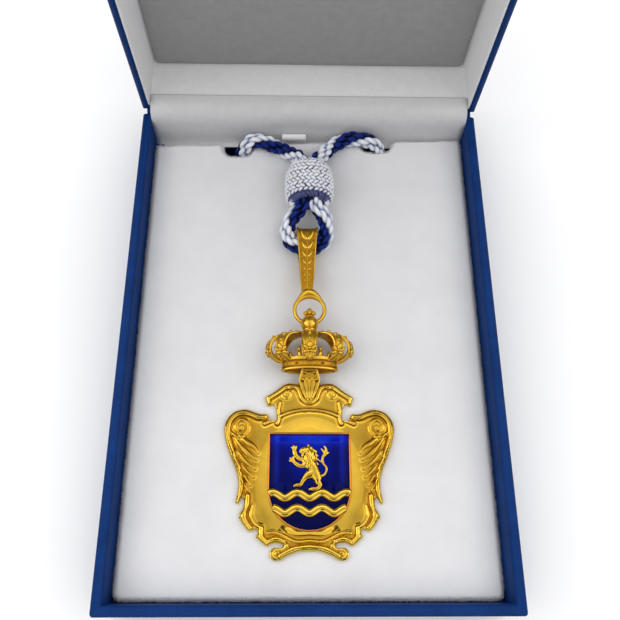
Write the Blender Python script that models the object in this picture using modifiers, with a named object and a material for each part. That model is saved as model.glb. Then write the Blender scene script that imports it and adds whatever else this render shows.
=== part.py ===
"""Badge of office on a twisted cord, lying in its open presentation case.

Metres, +Z up, +X right and +Y towards the case's hinge. The origin is the centre of the case's underside.
"""

import math

import bmesh
import bpy
from mathutils import Matrix, Vector

# Case
CASE_WIDTH = 0.130
CASE_LENGTH = 0.180
BASE_HEIGHT = 0.025
BASE_WALL = 0.0034
BASE_FLOOR = 0.0024
EDGE_ROUND = 0.0009
RAIL_WIDTH = 0.003
LID_HEIGHT = 0.0238
LID_WALL = 0.0022
LID_TOP = 0.0022
LID_GAP = 0.0003
LID_OPEN_DEG = 90
LINING = 0.0011
LINING_LIP = 0.0005
LID_CROWN = 0.0012
HINGE_ROD_DIAMETER = 0.0024
HINGE_CLEARANCE = 0.00015

# Pad and linings
PAD_DROP = 0.009
PAD_THICKNESS = 0.004
PAD_SIDE_GAP = 0.0004
PAD_ROUND = 0.0009
PAD_REAR_LEFT = 0.0088
PAD_REAR_RIGHT = 0.0048
NOTCH_LEFT_AT = -0.0272
NOTCH_LEFT_WIDTH = 0.0136
NOTCH_LEFT_DEPTH = 0.0071
NOTCH_RIGHT_AT = 0.0258
NOTCH_RIGHT_WIDTH = 0.0142
NOTCH_RIGHT_DEPTH = 0.0076
TAB_WIDTH = 0.0094
TAB_AT = -0.006
TAB_RISE = 0.0034
TAB_THICKNESS = 0.0005
FIT = 0.0003

# Badge
BADGE_WIDTH = 0.0575
CARTOUCHE_LENGTH = 0.0575
CARTOUCHE_TOP_Y = -0.0170
PLATE_THICKNESS = 0.0013
BORDER_RADIUS = 0.0011
FIELD_CROWN = 0.0018
SHIELD_WIDTH = 0.0274
SHIELD_HEIGHT = 0.0315
SHIELD_TOP_Y = -0.0344
SHIELD_PLATE = 0.0006
SHIELD_RIM = 0.00075
SHIELD_RIM_HEIGHT = 0.0017
BAR_WIDTH = 0.0023
BAR_PERIOD = 0.0079
BAR_WAVE = 0.00085
BAR_RISE = 0.0019
UPPER_BAR_DOWN = 0.0202
LOWER_BAR_DOWN = 0.0250
ENAMEL_CROWN = 0.0007
CHARGE_HEIGHT = 0.0150
CHARGE_THICKNESS = 0.0012
SEAT = 0.00015

# Neck and crown
NECK_WIDTH = 0.0056
NECK_FLARE = 0.0074
CROWN_BAND_WIDTH = 0.0192
CROWN_BAND_HEIGHT = 0.0039
CROWN_BAND_WALL = 0.0010
CROWN_BOTTOM_Y = -0.0144
CROWN_WIDTH = 0.0286
CROWN_RISE = 0.0138
CROWN_FLATTEN = 0.42
ARCH_WIDTH = 0.0042
ARCH_THICKNESS = 0.0015
PEARL_RADIUS = 0.0006
ORB_RADIUS = 0.0029
FINIAL_HEIGHT = 0.0034

# Ring, bail, knot and cord
RING_DIAMETER = 0.0118
RING_WIRE = 0.0013
RING_CLEARANCE = 0.0002
BAIL_LENGTH = 0.0260
BAIL_SHOULDER = 0.0021
BAIL_FOOT_WIDTH = 0.0042
BAIL_TOP_WIDTH = 0.0079
BAIL_DEPTH = 0.0079
BAIL_STRIP = 0.0009
BAIL_LEAN = -0.0008
KNOT_WIDTH = 0.0186
KNOT_DEPTH = 0.0130
KNOT_LENGTH = 0.0182
KNOT_FOOT_Y = 0.0502
CORD_DIAMETER = 0.0053
CORD_CLEARANCE = 0.00025

# The cord's route points: x, y and height above the tray's floor or the pad, in metres.
NECK_CORD_ROUTE = [
    ("knot", -0.0029, 0.0600),
    ("knot", -0.0029, 0.0650),
    ("knot", -0.0030, 0.0693),
    ("rising", -0.0058, 0.0734),
    ("pad", -0.0105, 0.0768),
    ("pad", -0.0160, 0.0798),
    ("pad", -0.0208, 0.0812),
    ("dip", -0.0248, 0.0806),
    ("notch", -0.0278, 0.0793),
    ("drop", -0.0298, 0.0783),
    ("sink", -0.0335, 0.0762),
    ("floor", -0.0420, 0.0710),
    ("floor", -0.0485, 0.0620),
    ("floor", -0.0500, 0.0480),
    ("floor", -0.0500, 0.0000),
    ("floor", -0.0500, -0.0560),
    ("floor", -0.0455, -0.0690),
    ("floor", -0.0320, -0.0730),
    ("floor", 0.0000, -0.0730),
    ("floor", 0.0320, -0.0730),
    ("floor", 0.0455, -0.0690),
    ("floor", 0.0500, -0.0560),
    ("floor", 0.0500, 0.0000),
    ("floor", 0.0500, 0.0620),
    ("floor", 0.0470, 0.0760),
    ("floor", 0.0360, 0.0830),
    ("floor", 0.0180, 0.0834),
    ("floor", 0.0010, 0.0815),
    ("floor", -0.0160, 0.0730),
    ("floor", -0.0330, 0.0630),
    ("floor", -0.0425, 0.0510),
    ("floor", -0.0438, 0.0360),
    ("floor", -0.0438, 0.0000),
    ("floor", -0.0438, -0.0520),
    ("floor", -0.0400, -0.0635),
    ("floor", -0.0290, -0.0668),
    ("floor", 0.0000, -0.0668),
    ("floor", 0.0290, -0.0668),
    ("floor", 0.0400, -0.0635),
    ("floor", 0.0438, -0.0520),
    ("floor", 0.0438, 0.0000),
    ("floor", 0.0438, 0.0560),
    ("floor", 0.0405, 0.0680),
    ("sink", 0.0330, 0.0752),
    ("drop", 0.0293, 0.0792),
    ("notch", 0.0278, 0.0807),
    ("dip", 0.0252, 0.0817),
    ("pad", 0.0208, 0.0822),
    ("pad", 0.0152, 0.0821),
    ("pad", 0.0098, 0.0793),
    ("rising", 0.0058, 0.0742),
    ("knot", 0.0030, 0.0693),
    ("knot", 0.0029, 0.0650),
    ("knot", 0.0029, 0.0600),
]
LOOP_CORD_ROUTE = [
    ("knot", -0.0029, 0.0597),
    ("knot", -0.0029, 0.0540),
    ("knot", -0.0030, 0.0489),
    ("loose", -0.0063, 0.0453),
    ("loop", -0.0080, 0.0415),
    ("loop", -0.0073, 0.0368),
    ("bail", -0.0046, 0.0341),
    ("bail", -0.0008, 0.0332),
    ("bail", 0.0030, 0.0341),
    ("loop", 0.0057, 0.0368),
    ("loop", 0.0063, 0.0415),
    ("loose", 0.0055, 0.0456),
    ("knot", 0.0030, 0.0489),
    ("knot", 0.0029, 0.0540),
    ("knot", 0.0029, 0.0597),
]

# The cartouche's left edge, in 57.5ths of its width and of its length: across, down.
TOP_SCROLL = [(3.5, 0.4), (5, 0.2), (7, 0.05), (8.5, 0.4), (9.8, 1.2), (11, 2.2), (13, 3.6), (14.6, 4.6)]
SCROLL_LIP = [(15.2, 5.3), (14.8, 6.5), (14.4, 7.8), (13.6, 8.2), (13.0, 7.6), (12.2, 7.5)]
WAIST = [(11.6, 8.6), (11.2, 10.6), (11.1, 12.4), (11.6, 13.0), (12.5, 13.1), (13.3, 13.0), (13.6, 12), (14.1, 10.9)]
SHOULDER = [(14.8, 10.6), (16.3, 10.7), (18.3, 10.1), (19.8, 9.5), (21.6, 9.1), (23.1, 9.2), (25.1, 9.8)]
VOLUTE_EDGE = [(26.6, 10.9), (27.8, 12.4), (28.5, 14), (28.75, 15.6), (28.5, 18), (27.9, 20.5), (27, 23)]
LEAF_EDGE = [(26, 25.6), (24.9, 28), (23.9, 30.6), (23.4, 33), (23.3, 35), (23.5, 36.8), (23.9, 38.9)]
LEAF_TIP = [(24.0, 39.8), (23.5, 40.3), (22.9, 39.8), (22.3, 38.6), (21.9, 38.1), (21.4, 38.6), (21.2, 40)]
CORNER = [(21.6, 41.5), (22.4, 42.9), (22.9, 44), (21.8, 46), (20.8, 47.3), (19.8, 48.4), (19.2, 48.8)]
FOOT_NOTCH = [(18.2, 48.3), (17.2, 48), (16.6, 48.5), (16.6, 49.3), (17.2, 50.2)]
FOOT = [(16.3, 51.2), (15, 52.3), (14, 53.1), (13.3, 53.2), (12.5, 52.6), (11.3, 52.2), (10, 52.2), (9, 52.4)]
CURL = [(8.4, 53.1), (8.7, 53.5), (9.5, 53.7), (10.8, 53.5), (11.8, 53.8), (12.4, 54.7), (12.6, 55.7)]
CURL_UNDER = [(12.2, 56.7), (11.3, 57.3), (10, 57.5), (8.8, 57.1), (7.5, 56.3), (6, 55.7), (4.5, 55.2), (2.7, 54.7)]
EDGE_UNIT = 57.5

# Raised ridges of the left half, in the same units: across, down, radius in thousandths of the width.
RIDGES = {
    "rise": [(7.4, 1.5, 18), (5.2, 1.2, 16), (3.9, 2.2, 15), (3.1, 3.8, 14), (2.5, 5.6, 13), (1.2, 6.7, 12), (0, 6.9, 12)],
    "lip": [(8.0, 1.4, 17), (10.2, 2.9, 18), (12.6, 4.5, 18), (14.0, 5.7, 16), (14.0, 6.8, 14)],
    "waist": [(10.0, 7.0, 11), (10.4, 9.5, 12), (10.2, 12.0, 13), (10.8, 14.0, 14)],
    "step": [(15.0, 14.2, 12), (12.0, 12.8, 12), (8.5, 11.0, 11), (4.5, 9.8, 10), (0, 9.4, 10)],
    "volute": [(14.9, 11.9, 14), (17.0, 12.0, 18), (19.6, 10.9, 19), (22.6, 10.3, 20), (25.2, 11.3, 20), (27.0, 13.6, 20)]
    + [(27.5, 16.4, 20), (26.9, 20.0, 19), (25.9, 23.4, 18), (24.4, 26.8, 17), (22.9, 30.6, 16), (22.3, 34.5, 15)]
    + [(22.6, 37.8, 12), (23.3, 39.4, 8)],
    "corner": [(20.0, 37.6, 12), (20.2, 40.4, 15), (21.2, 43.4, 17), (20.3, 46.0, 17), (19.0, 47.5, 15)],
    "foot": [(15.4, 47.6, 14), (15.4, 50.2, 17), (13.4, 51.9, 16), (10.8, 51.0, 15), (8.2, 51.6, 15)],
    "curl": [(7.2, 53.0, 15), (9.4, 54.9, 15), (11.0, 55.0, 15), (11.1, 56.0, 14), (10.2, 56.2, 13)],
    "under": [(9.2, 56.0, 13), (7.4, 55.1, 15), (4.6, 53.9, 15), (0, 53.3, 15)],
    "vein_a": [(24.6, 19.6, 14), (22.0, 23.0, 13), (19.0, 25.0, 11), (17.0, 25.6, 7)],
    "vein_b": [(24.9, 22.0, 14), (22.0, 26.3, 13), (19.2, 28.4, 11), (17.2, 29.2, 7)],
    "vein_c": [(24.4, 24.6, 14), (21.8, 29.2, 13), (19.2, 31.8, 11), (17.2, 33.0, 7)],
    "vein_d": [(23.2, 27.8, 13), (21.2, 32.0, 12), (19.6, 35.0, 10), (18.6, 36.6, 7)],
}
# Spirals of the left half: across, down, first and last radius in 57.5ths, turns, wire in thousandths.
SPIRALS = {
    "large": (23.0, 15.0, 4.3, 1.0, 1.6, 15),
    "small": (7.6, 3.7, 1.9, 0.6, 1.2, 11),
}

# The lion's limbs, in hundredths of its height: across, up, radius.
CHARGE_LIMBS = {
    "trunk": [(-3, 66, 14), (3, 56, 13), (9, 45, 12), (13, 33, 13)],
    "mane": [(-3, 64, 15), (-2, 74, 14), (-1, 82, 11), (2, 88, 6)],
    "head": [(-4, 84, 9), (-12, 84, 8), (-18, 82, 5)],
    "jaw": [(-8, 78, 5), (-15, 75, 3)],
    "raised_paw": [(-6, 67, 7), (-20, 66, 5), (-30, 74, 5), (-33, 84, 5), (-38, 89, 4)],
    "lower_paw": [(-4, 55, 7), (-18, 51, 5), (-28, 55, 5), (-36, 62, 4)],
    "front_leg": [(10, 34, 11), (-6, 30, 8), (-15, 19, 5), (-19, 12, 4), (-30, 12, 4)],
    "rear_leg": [(14, 31, 12), (17, 19, 8), (23, 11, 5), (17, 4, 4), (3, 3, 4)],
    "tail": [(22, 29, 4), (33, 34, 3), (37, 47, 3), (29, 58, 3), (29, 70, 4), (37, 80, 6), (34, 88, 2)],
}


def material(name, colour, roughness, metallic=0.0):
    made = bpy.data.materials.new(name)
    made.use_nodes = True
    shader = made.node_tree.nodes["Principled BSDF"]
    channels = [int(colour[i : i + 2], 16) / 255 for i in (0, 2, 4)]
    linear = [c / 12.92 if c <= 0.04045 else ((c + 0.055) / 1.055) ** 2.4 for c in channels]
    shader.inputs["Base Color"].default_value = (*linear, 1)
    shader.inputs["Roughness"].default_value = roughness
    shader.inputs["Metallic"].default_value = metallic
    made.diffuse_color = (*linear, 1)
    return made


WORK_SCALE = 1024


def place(name, mesh, look, into):
    made = bpy.data.objects.new(name, mesh)
    into.objects.link(made)
    if look:
        mesh.materials.clear()
        mesh.materials.append(look)
    return made


def cutter(name, mesh):
    made = place(name, mesh, None, CUTTERS)
    made.hide_render = True
    made.display_type = "WIRE"
    return made


def baked(obj):
    """Replaces the object's mesh by what its modifiers make of it."""
    bpy.context.view_layer.update()
    graph = bpy.context.evaluated_depsgraph_get()
    mesh = bpy.data.meshes.new_from_object(obj.evaluated_get(graph))
    obj.modifiers.clear()
    obj.data = mesh
    return obj


def combine(target, others, operation, self_crossing=False):
    """Booleans on meshes that are made larger for it, so that their tolerance is small beside the shapes."""
    larger = Matrix.Scale(WORK_SCALE, 4)
    smaller = Matrix.Scale(1 / WORK_SCALE, 4)
    target.data.transform(larger)
    for other in others:
        other.data.transform(larger)
        step = target.modifiers.new(operation.lower(), "BOOLEAN")
        step.operation = operation
        step.solver = "EXACT"
        step.use_self = self_crossing
        step.object = other
        baked(target)
        other.data.transform(smaller)
    target.data.transform(smaller)
    return target


def cut(target, *others):
    return combine(target, others, "DIFFERENCE")


def join(target, *others):
    return combine(target, others, "UNION")


def keep(target, *others):
    return combine(target, others, "INTERSECT")


def box_mesh(low, high, rounding=0.0):
    mesh = bpy.data.meshes.new("box")
    form = bmesh.new()
    bmesh.ops.create_cube(form, size=1)
    size = [b - a for a, b in zip(low, high)]
    middle = [(a + b) / 2 for a, b in zip(low, high)]
    bmesh.ops.scale(form, vec=size, verts=form.verts)
    bmesh.ops.translate(form, vec=middle, verts=form.verts)
    if rounding:
        bmesh.ops.bevel(form, geom=form.edges, offset=rounding, segments=2, affect="EDGES", profile=0.5)
    form.to_mesh(mesh)
    form.free()
    return mesh


def rod_mesh(start, end, radius, sides, end_radius=None):
    mesh = bpy.data.meshes.new("rod")
    form = bmesh.new()
    run = Vector(end) - Vector(start)
    turn = run.to_track_quat("Z", "Y").to_matrix().to_4x4()
    where = Matrix.Translation((Vector(start) + Vector(end)) / 2) @ turn
    top = radius if end_radius is None else end_radius
    bmesh.ops.create_cone(
        form, cap_ends=True, segments=sides, radius1=radius, radius2=top, depth=run.length, matrix=where
    )
    form.to_mesh(mesh)
    form.free()
    return mesh


def ball_mesh(centre, radii, around, rings):
    mesh = bpy.data.meshes.new("ball")
    form = bmesh.new()
    bmesh.ops.create_uvsphere(form, u_segments=around, v_segments=rings, radius=1)
    bmesh.ops.scale(form, vec=radii, verts=form.verts)
    bmesh.ops.translate(form, vec=centre, verts=form.verts)
    form.to_mesh(mesh)
    form.free()
    return mesh


def curve_mesh(curve):
    """The mesh of a curve object that is then removed, with its caps welded on."""
    bpy.context.view_layer.update()
    graph = bpy.context.evaluated_depsgraph_get()
    mesh = bpy.data.meshes.new_from_object(curve.evaluated_get(graph))
    mesh.transform(curve.matrix_world)
    data = curve.data
    bpy.data.objects.remove(curve)
    bpy.data.curves.remove(data)
    form = bmesh.new()
    form.from_mesh(mesh)
    bmesh.ops.remove_doubles(form, verts=form.verts, dist=1e-7)
    bmesh.ops.recalc_face_normals(form, faces=form.faces)
    form.to_mesh(mesh)
    form.free()
    return mesh


def outline_mesh(points, low, high, turn=None):
    """A flat outline as a 2D curve between two heights, then turned into its plane."""
    data = bpy.data.curves.new("outline", "CURVE")
    data.dimensions = "2D"
    data.fill_mode = "BOTH"
    data.extrude = (high - low) / 2
    line = data.splines.new("POLY")
    line.points.add(len(points) - 1)
    line.use_cyclic_u = True
    for point, (x, y) in zip(line.points, points):
        point.co = (x, y, 0, 1)
    curve = place("outline", data, None, CUTTERS)
    rise = Matrix.Translation((0, 0, (low + high) / 2))
    curve.matrix_world = (turn or Matrix.Identity(4)) @ rise
    return curve_mesh(curve)


def wire_mesh(points, radii, detail=1):
    """A round wire through the points, with its own radius at each."""
    data = bpy.data.curves.new("wire", "CURVE")
    data.dimensions = "3D"
    data.bevel_depth = 1
    data.bevel_resolution = detail
    data.use_fill_caps = True
    line = data.splines.new("POLY")
    line.points.add(len(points) - 1)
    for point, where, radius in zip(line.points, points, radii):
        point.co = (*where, 1)
        point.radius = radius
    return curve_mesh(place("wire", data, None, CUTTERS))


def smooth_run(points, steps):
    """Points along a smooth curve through the given ones."""
    count = len(points)
    size = len(points[0])
    run = []
    for i in range(count - 1):
        a = points[max(i - 1, 0)]
        b = points[i]
        c = points[i + 1]
        d = points[min(i + 2, count - 1)]
        for s in range(steps):
            t = s / steps
            run.append(
                tuple(
                    0.5
                    * (
                        2 * b[k]
                        + (c[k] - a[k]) * t
                        + (2 * a[k] - 5 * b[k] + 4 * c[k] - d[k]) * t**2
                        + (3 * b[k] - a[k] - 3 * c[k] + d[k]) * t**3
                    )
                    for k in range(size)
                )
            )
    run.append(tuple(points[-1]))
    return run


def cord_run(points, near, far, far_z):
    """The smooth path through the points, with points near each other, and further apart at one height."""
    fine = [Vector(p) for p in smooth_run(points, 24)]
    path = [fine[0]]
    reach = 0.0
    for before, point in zip(fine, fine[1:]):
        reach += (point - before).length
        if reach >= (far if abs(point.z - far_z) < FIT else near):
            path.append(point)
            reach = 0.0
    if (path[-1] - fine[-1]).length < near / 2:
        path.pop()
    return path + [fine[-1]]


def smooth_shade(*objects):
    for obj in objects:
        obj.data.shade_smooth()
        obj.data.set_sharp_from_angle(angle=math.radians(35))


for old in list(bpy.data.objects):
    bpy.data.objects.remove(old)
PARTS = bpy.data.collections.new("badge_of_office_in_case")
CUTTERS = bpy.data.collections.new("cutters")
bpy.context.scene.collection.children.link(PARTS)
bpy.context.scene.collection.children.link(CUTTERS)
CUTTERS.hide_render = True

GILT = material("polished_gilt", "D9A520", 0.18, 1.0)
MATTE_GILT = material("matte_gilt", "C8860F", 0.38, 1.0)
COPPER_GILT = material("copper_gilt", "C07A2A", 0.25, 1.0)
ENAMEL = material("blue_enamel", "0A1E9A", 0.06)
LEATHERETTE = material("navy_leatherette", "14306B", 0.55)
VELVET = material("white_velvet", "D9DADC", 0.95)
SATIN = material("white_satin", "E4E4E6", 0.5)
LID_CLOTH = material("white_lining", "C8C8C8", 0.9)
SILVER_THREAD = material("silver_white_thread", "DCE2EC", 0.5)
CORD_THREAD = material("blue_cord_thread", "0A1F7A", 0.5)

half_width = CASE_WIDTH / 2
half_length = CASE_LENGTH / 2
pad_top = BASE_HEIGHT - PAD_DROP
pad_bottom = pad_top - PAD_THICKNESS
jewel_back = pad_top + FIT
hinge_y = half_length
hinge_z = BASE_HEIGHT

# Tray: outer box, the well down to the pad's rails, and the hollow under the pad.
case_base = place(
    "case_base",
    box_mesh((-half_width, -half_length, 0), (half_width, half_length, BASE_HEIGHT), EDGE_ROUND),
    LEATHERETTE,
    PARTS,
)
inner_x = half_width - BASE_WALL
inner_y = half_length - BASE_WALL
well = cutter("well", box_mesh((-inner_x, -inner_y, pad_bottom - FIT), (inner_x, inner_y, BASE_HEIGHT * 2)))
store = cutter(
    "store",
    box_mesh(
        (-inner_x + RAIL_WIDTH, -inner_y + RAIL_WIDTH, BASE_FLOOR),
        (inner_x - RAIL_WIDTH, inner_y, BASE_HEIGHT * 2),
    ),
)
rod_radius = HINGE_ROD_DIAMETER / 2
groove_radius = rod_radius + HINGE_CLEARANCE
groove = cutter(
    "hinge_groove",
    rod_mesh((-CASE_WIDTH, hinge_y, hinge_z), (CASE_WIDTH, hinge_y, hinge_z), groove_radius, 24),
)
cut(case_base, well, store, groove)

rod_half = half_width - 2 * EDGE_ROUND
hinge_rod = place(
    "hinge_rod", rod_mesh((-rod_half, hinge_y, hinge_z), (rod_half, hinge_y, hinge_z), rod_radius, 16), LEATHERETTE, PARTS
)

# Pad, with its slanting rear edge and the two notches that the cord comes out of.
pad_x = inner_x - PAD_SIDE_GAP
rear_left = half_length - PAD_REAR_LEFT
rear_right = half_length - PAD_REAR_RIGHT


def rear_edge(x):
    return rear_left + (rear_right - rear_left) * (x + pad_x) / (2 * pad_x)


def pad_outline():
    outline = [(-pad_x, -inner_y + PAD_SIDE_GAP), (pad_x, -inner_y + PAD_SIDE_GAP), (pad_x, rear_edge(pad_x))]
    for middle, width, depth in (
        (NOTCH_RIGHT_AT, NOTCH_RIGHT_WIDTH, NOTCH_RIGHT_DEPTH),
        (NOTCH_LEFT_AT, NOTCH_LEFT_WIDTH, NOTCH_LEFT_DEPTH),
    ):
        outline.append((middle + width / 2 + 0.15 * width, rear_edge(middle + 0.65 * width)))
        for i in range(9):
            turn = math.pi * i / 8
            across = math.copysign(abs(math.cos(turn)) ** 0.6, math.cos(turn)) * width / 2
            outline.append((middle + across, rear_edge(middle) - depth * math.sin(turn) ** 0.6))
        outline.append((middle - width / 2 - 0.15 * width, rear_edge(middle - 0.65 * width)))
    outline.append((-pad_x, rear_edge(-pad_x)))
    return outline


case_pad = place("case_pad", outline_mesh(pad_outline(), pad_bottom, pad_top), VELVET, PARTS)
soften = case_pad.modifiers.new("soft_edge", "BEVEL")
soften.width = PAD_ROUND
soften.segments = 2
soften.limit_method = "ANGLE"
soften.angle_limit = math.radians(60)
baked(case_pad)

# Lining up the rear wall, behind the pad, and the folded tab in front of it.
lining_low = pad_bottom
lining_high = BASE_HEIGHT - LID_GAP - groove_radius / 2
lining_back = inner_y - FIT
lining_front = lining_back - LINING
rear_lining = place(
    "rear_lining",
    box_mesh((-pad_x, lining_front, lining_low), (pad_x, lining_back, lining_high), LINING / 4),
    LID_CLOTH,
    PARTS,
)
tab_back = lining_front - FIT
tab_top = pad_top + TAB_RISE
tab_profile = [
    (tab_back, pad_bottom),
    (tab_back, tab_top - TAB_THICKNESS),
    (tab_back - TAB_THICKNESS, tab_top),
    (tab_back - 4 * TAB_THICKNESS, tab_top),
    (tab_back - 5 * TAB_THICKNESS, tab_top - TAB_THICKNESS),
    (tab_back - 5 * TAB_THICKNESS, tab_top - 3 * TAB_THICKNESS),
    (tab_back - 4 * TAB_THICKNESS, tab_top - 3 * TAB_THICKNESS),
    (tab_back - 4 * TAB_THICKNESS, tab_top - TAB_THICKNESS),
    (tab_back - TAB_THICKNESS, tab_top - TAB_THICKNESS),
    (tab_back - TAB_THICKNESS, pad_bottom),
]
# Turns an outline drawn in Y and Z so that it is extruded along X.
SIDEWAYS = Matrix(((0, 0, 1, 0), (1, 0, 0, 0), (0, 1, 0, 0), (0, 0, 0, 1)))
pull_tab = place(
    "pull_tab",
    outline_mesh(tab_profile, TAB_AT - TAB_WIDTH / 2, TAB_AT + TAB_WIDTH / 2, SIDEWAYS),
    SATIN,
    PARTS,
)

# Lid, modelled shut and opened about the hinge's axis by its parent.
lid_low = BASE_HEIGHT + LID_GAP
lid_high = BASE_HEIGHT + LID_HEIGHT
lid_axis = bpy.data.objects.new("lid_axis", None)
PARTS.objects.link(lid_axis)
lid_axis.location = (0, hinge_y, hinge_z)


def hung(obj):
    obj.data.transform(Matrix.Translation((0, -hinge_y, -hinge_z)))
    obj.parent = lid_axis
    return obj


lid_shell = place(
    "lid_shell",
    box_mesh((-half_width, -half_length, lid_low), (half_width, half_length, lid_high), EDGE_ROUND),
    LEATHERETTE,
    PARTS,
)
lid_x = half_width - LID_WALL
lid_y = half_length - LID_WALL
lid_ceiling = lid_high - LID_TOP
lid_well = cutter("lid_well", box_mesh((-lid_x, -lid_y, -BASE_HEIGHT), (lid_x, lid_y, lid_ceiling)))
cut(lid_shell, lid_well, groove)
lid_lining = place(
    "lid_lining",
    box_mesh((-lid_x + SEAT, -lid_y + SEAT, lid_low + LINING_LIP), (lid_x - SEAT, lid_y - SEAT, lid_ceiling - SEAT)),
    LID_CLOTH,
    PARTS,
)
hollow_x = lid_x - SEAT - LINING
hollow_y = lid_y - SEAT - LINING
hollow_z = lid_ceiling - SEAT - LINING
lid_hollow = cutter("lid_hollow", box_mesh((-hollow_x, -hollow_y, -BASE_HEIGHT), (hollow_x, hollow_y, hollow_z)))
cut(lid_lining, lid_hollow)
lid_cushion = cutter(
    "lid_cushion",
    ball_mesh((0, 0, hollow_z + LINING / 3), (hollow_x * 1.25, hollow_y * 1.25, LID_CROWN + LINING / 3), 32, 16),
)
cushion_edge = cutter(
    "cushion_edge",
    box_mesh(
        (-hollow_x + SEAT, -hollow_y + SEAT, hollow_z - 2 * LID_CROWN),
        (hollow_x - SEAT, hollow_y - SEAT, hollow_z + LINING / 2),
    ),
)
keep(lid_cushion, cushion_edge)
join(lid_lining, lid_cushion)
hung(lid_shell)
hung(lid_lining)
lid_axis.rotation_euler = (-math.radians(LID_OPEN_DEG), 0, 0)

# Cartouche: plate, crowned field, ridges, spirals and neck, cast in one.
across_unit = BADGE_WIDTH / EDGE_UNIT
down_unit = CARTOUCHE_LENGTH / EDGE_UNIT
LEFT_EDGE = (
    TOP_SCROLL
    + SCROLL_LIP
    + WAIST
    + SHOULDER
    + VOLUTE_EDGE
    + LEAF_EDGE
    + LEAF_TIP
    + CORNER
    + FOOT_NOTCH
    + FOOT
    + CURL
    + CURL_UNDER
)


def on_badge(across, down):
    return across * across_unit, CARTOUCHE_TOP_Y - down * down_unit


left = [on_badge(-across, down) for across, down in LEFT_EDGE]
right = [(-x, y) for x, y in reversed(left)]
plate_top = jewel_back + PLATE_THICKNESS
cartouche = place("cartouche", outline_mesh(left + right, jewel_back, plate_top), GILT, PARTS)
reliefs = []


def raised(name, mesh):
    reliefs.append(cutter(name, mesh))


shield_half = SHIELD_WIDTH / 2
shield_foot_y = SHIELD_TOP_Y - SHIELD_HEIGHT
shield_middle_y = (SHIELD_TOP_Y + shield_foot_y) / 2
raised(
    "field",
    ball_mesh((0, shield_middle_y, jewel_back + PLATE_THICKNESS / 2), (shield_half * 1.3, SHIELD_HEIGHT * 0.655, FIELD_CROWN), 32, 16),
)
for name, rows in RIDGES.items():
    run = smooth_run(rows, 2)
    mirrored = [(-across, down, thick) for across, down, thick in run]
    # A ridge that ends on the middle line runs on over it as one wire.
    runs = [run + mirrored[-2::-1]] if rows[-1][0] == 0 else [run, mirrored]
    for side in runs:
        path = [(*on_badge(across, down), plate_top) for across, down, thick in side]
        raised(name, wire_mesh(path, [thick / 1000 * BADGE_WIDTH for across, down, thick in side]))
for name, (across, down, first, last, turns, thick) in SPIRALS.items():
    steps = round(12 * turns)
    for side in (-1, 1):
        path = []
        radii = []
        for i in range(steps + 1):
            share = i / steps
            turn = math.pi / 2 - share * turns * math.tau
            reach = first + (last - first) * share
            x, y = on_badge(side * (across + reach * math.cos(turn)), down - reach * math.sin(turn))
            path.append((x, y, plate_top + 0.4 * BORDER_RADIUS * share))
            radii.append(thick / 1000 * BADGE_WIDTH * (1 + 0.25 * share))
        raised(name, wire_mesh(path, radii))

crown_mid_z = jewel_back + CROWN_WIDTH / 2 * CROWN_FLATTEN + ARCH_THICKNESS / 3
band_top_y = CROWN_BOTTOM_Y + CROWN_BAND_HEIGHT
floor_thickness = CROWN_BAND_WALL * 0.9
floor_low_y = CROWN_BOTTOM_Y + 0.45 * CROWN_BAND_HEIGHT
neck_top_y = floor_low_y - SEAT
neck_foot_y = CARTOUCHE_TOP_Y - 0.0055
neck_half = NECK_WIDTH / 2
flare_half = NECK_FLARE / 2
neck_plan = [
    (-neck_half, neck_top_y),
    (-neck_half, neck_top_y - 0.2 * NECK_WIDTH),
    (-flare_half, CARTOUCHE_TOP_Y),
    (-flare_half * 0.8, CARTOUCHE_TOP_Y - 0.4 * NECK_FLARE),
    (-flare_half * 0.4, neck_foot_y),
    (flare_half * 0.4, neck_foot_y),
    (flare_half * 0.8, CARTOUCHE_TOP_Y - 0.4 * NECK_FLARE),
    (flare_half, CARTOUCHE_TOP_Y),
    (neck_half, neck_top_y - 0.2 * NECK_WIDTH),
    (neck_half, neck_top_y),
]
neck_thick = PLATE_THICKNESS
neck_side = [
    (neck_top_y, crown_mid_z + neck_thick),
    (neck_top_y, crown_mid_z - neck_thick),
    (neck_top_y - 0.35 * NECK_WIDTH, crown_mid_z - 1.5 * neck_thick),
    (CARTOUCHE_TOP_Y - 0.1 * NECK_FLARE, jewel_back + 0.2 * neck_thick),
    (neck_foot_y, jewel_back + 0.2 * neck_thick),
    (neck_foot_y, plate_top + 0.3 * neck_thick),
    (CARTOUCHE_TOP_Y - 0.35 * NECK_FLARE, plate_top + neck_thick),
    (CARTOUCHE_TOP_Y, crown_mid_z - 0.3 * neck_thick),
]
neck = cutter("neck", outline_mesh(neck_plan, 0, BASE_HEIGHT * 2))
neck_profile = cutter("neck_profile", outline_mesh(neck_side, -NECK_FLARE, NECK_FLARE, SIDEWAYS))
keep(neck, neck_profile)
reliefs.append(neck)
combine(cartouche, reliefs, "UNION", True)


def shield_outline(inset):
    half = shield_half - inset
    top = SHIELD_TOP_Y - inset
    turn_y = shield_foot_y + shield_half * 0.97
    foot = shield_foot_y + inset
    outline = [(half, top), (-half, top)]
    for i in range(21):
        turn = math.pi * i / 20
        outline.append((-half * math.cos(turn), turn_y - (turn_y - foot) * math.sin(turn)))
    return outline


seat_z = jewel_back + PLATE_THICKNESS
shield_seat = cutter("shield_seat", outline_mesh(shield_outline(-SEAT), seat_z, BASE_HEIGHT * 2))
below = cutter(
    "below", box_mesh((-BADGE_WIDTH, -CASE_LENGTH, -BASE_HEIGHT), (BADGE_WIDTH, CASE_LENGTH, jewel_back))
)
cut(cartouche, shield_seat, below)

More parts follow.
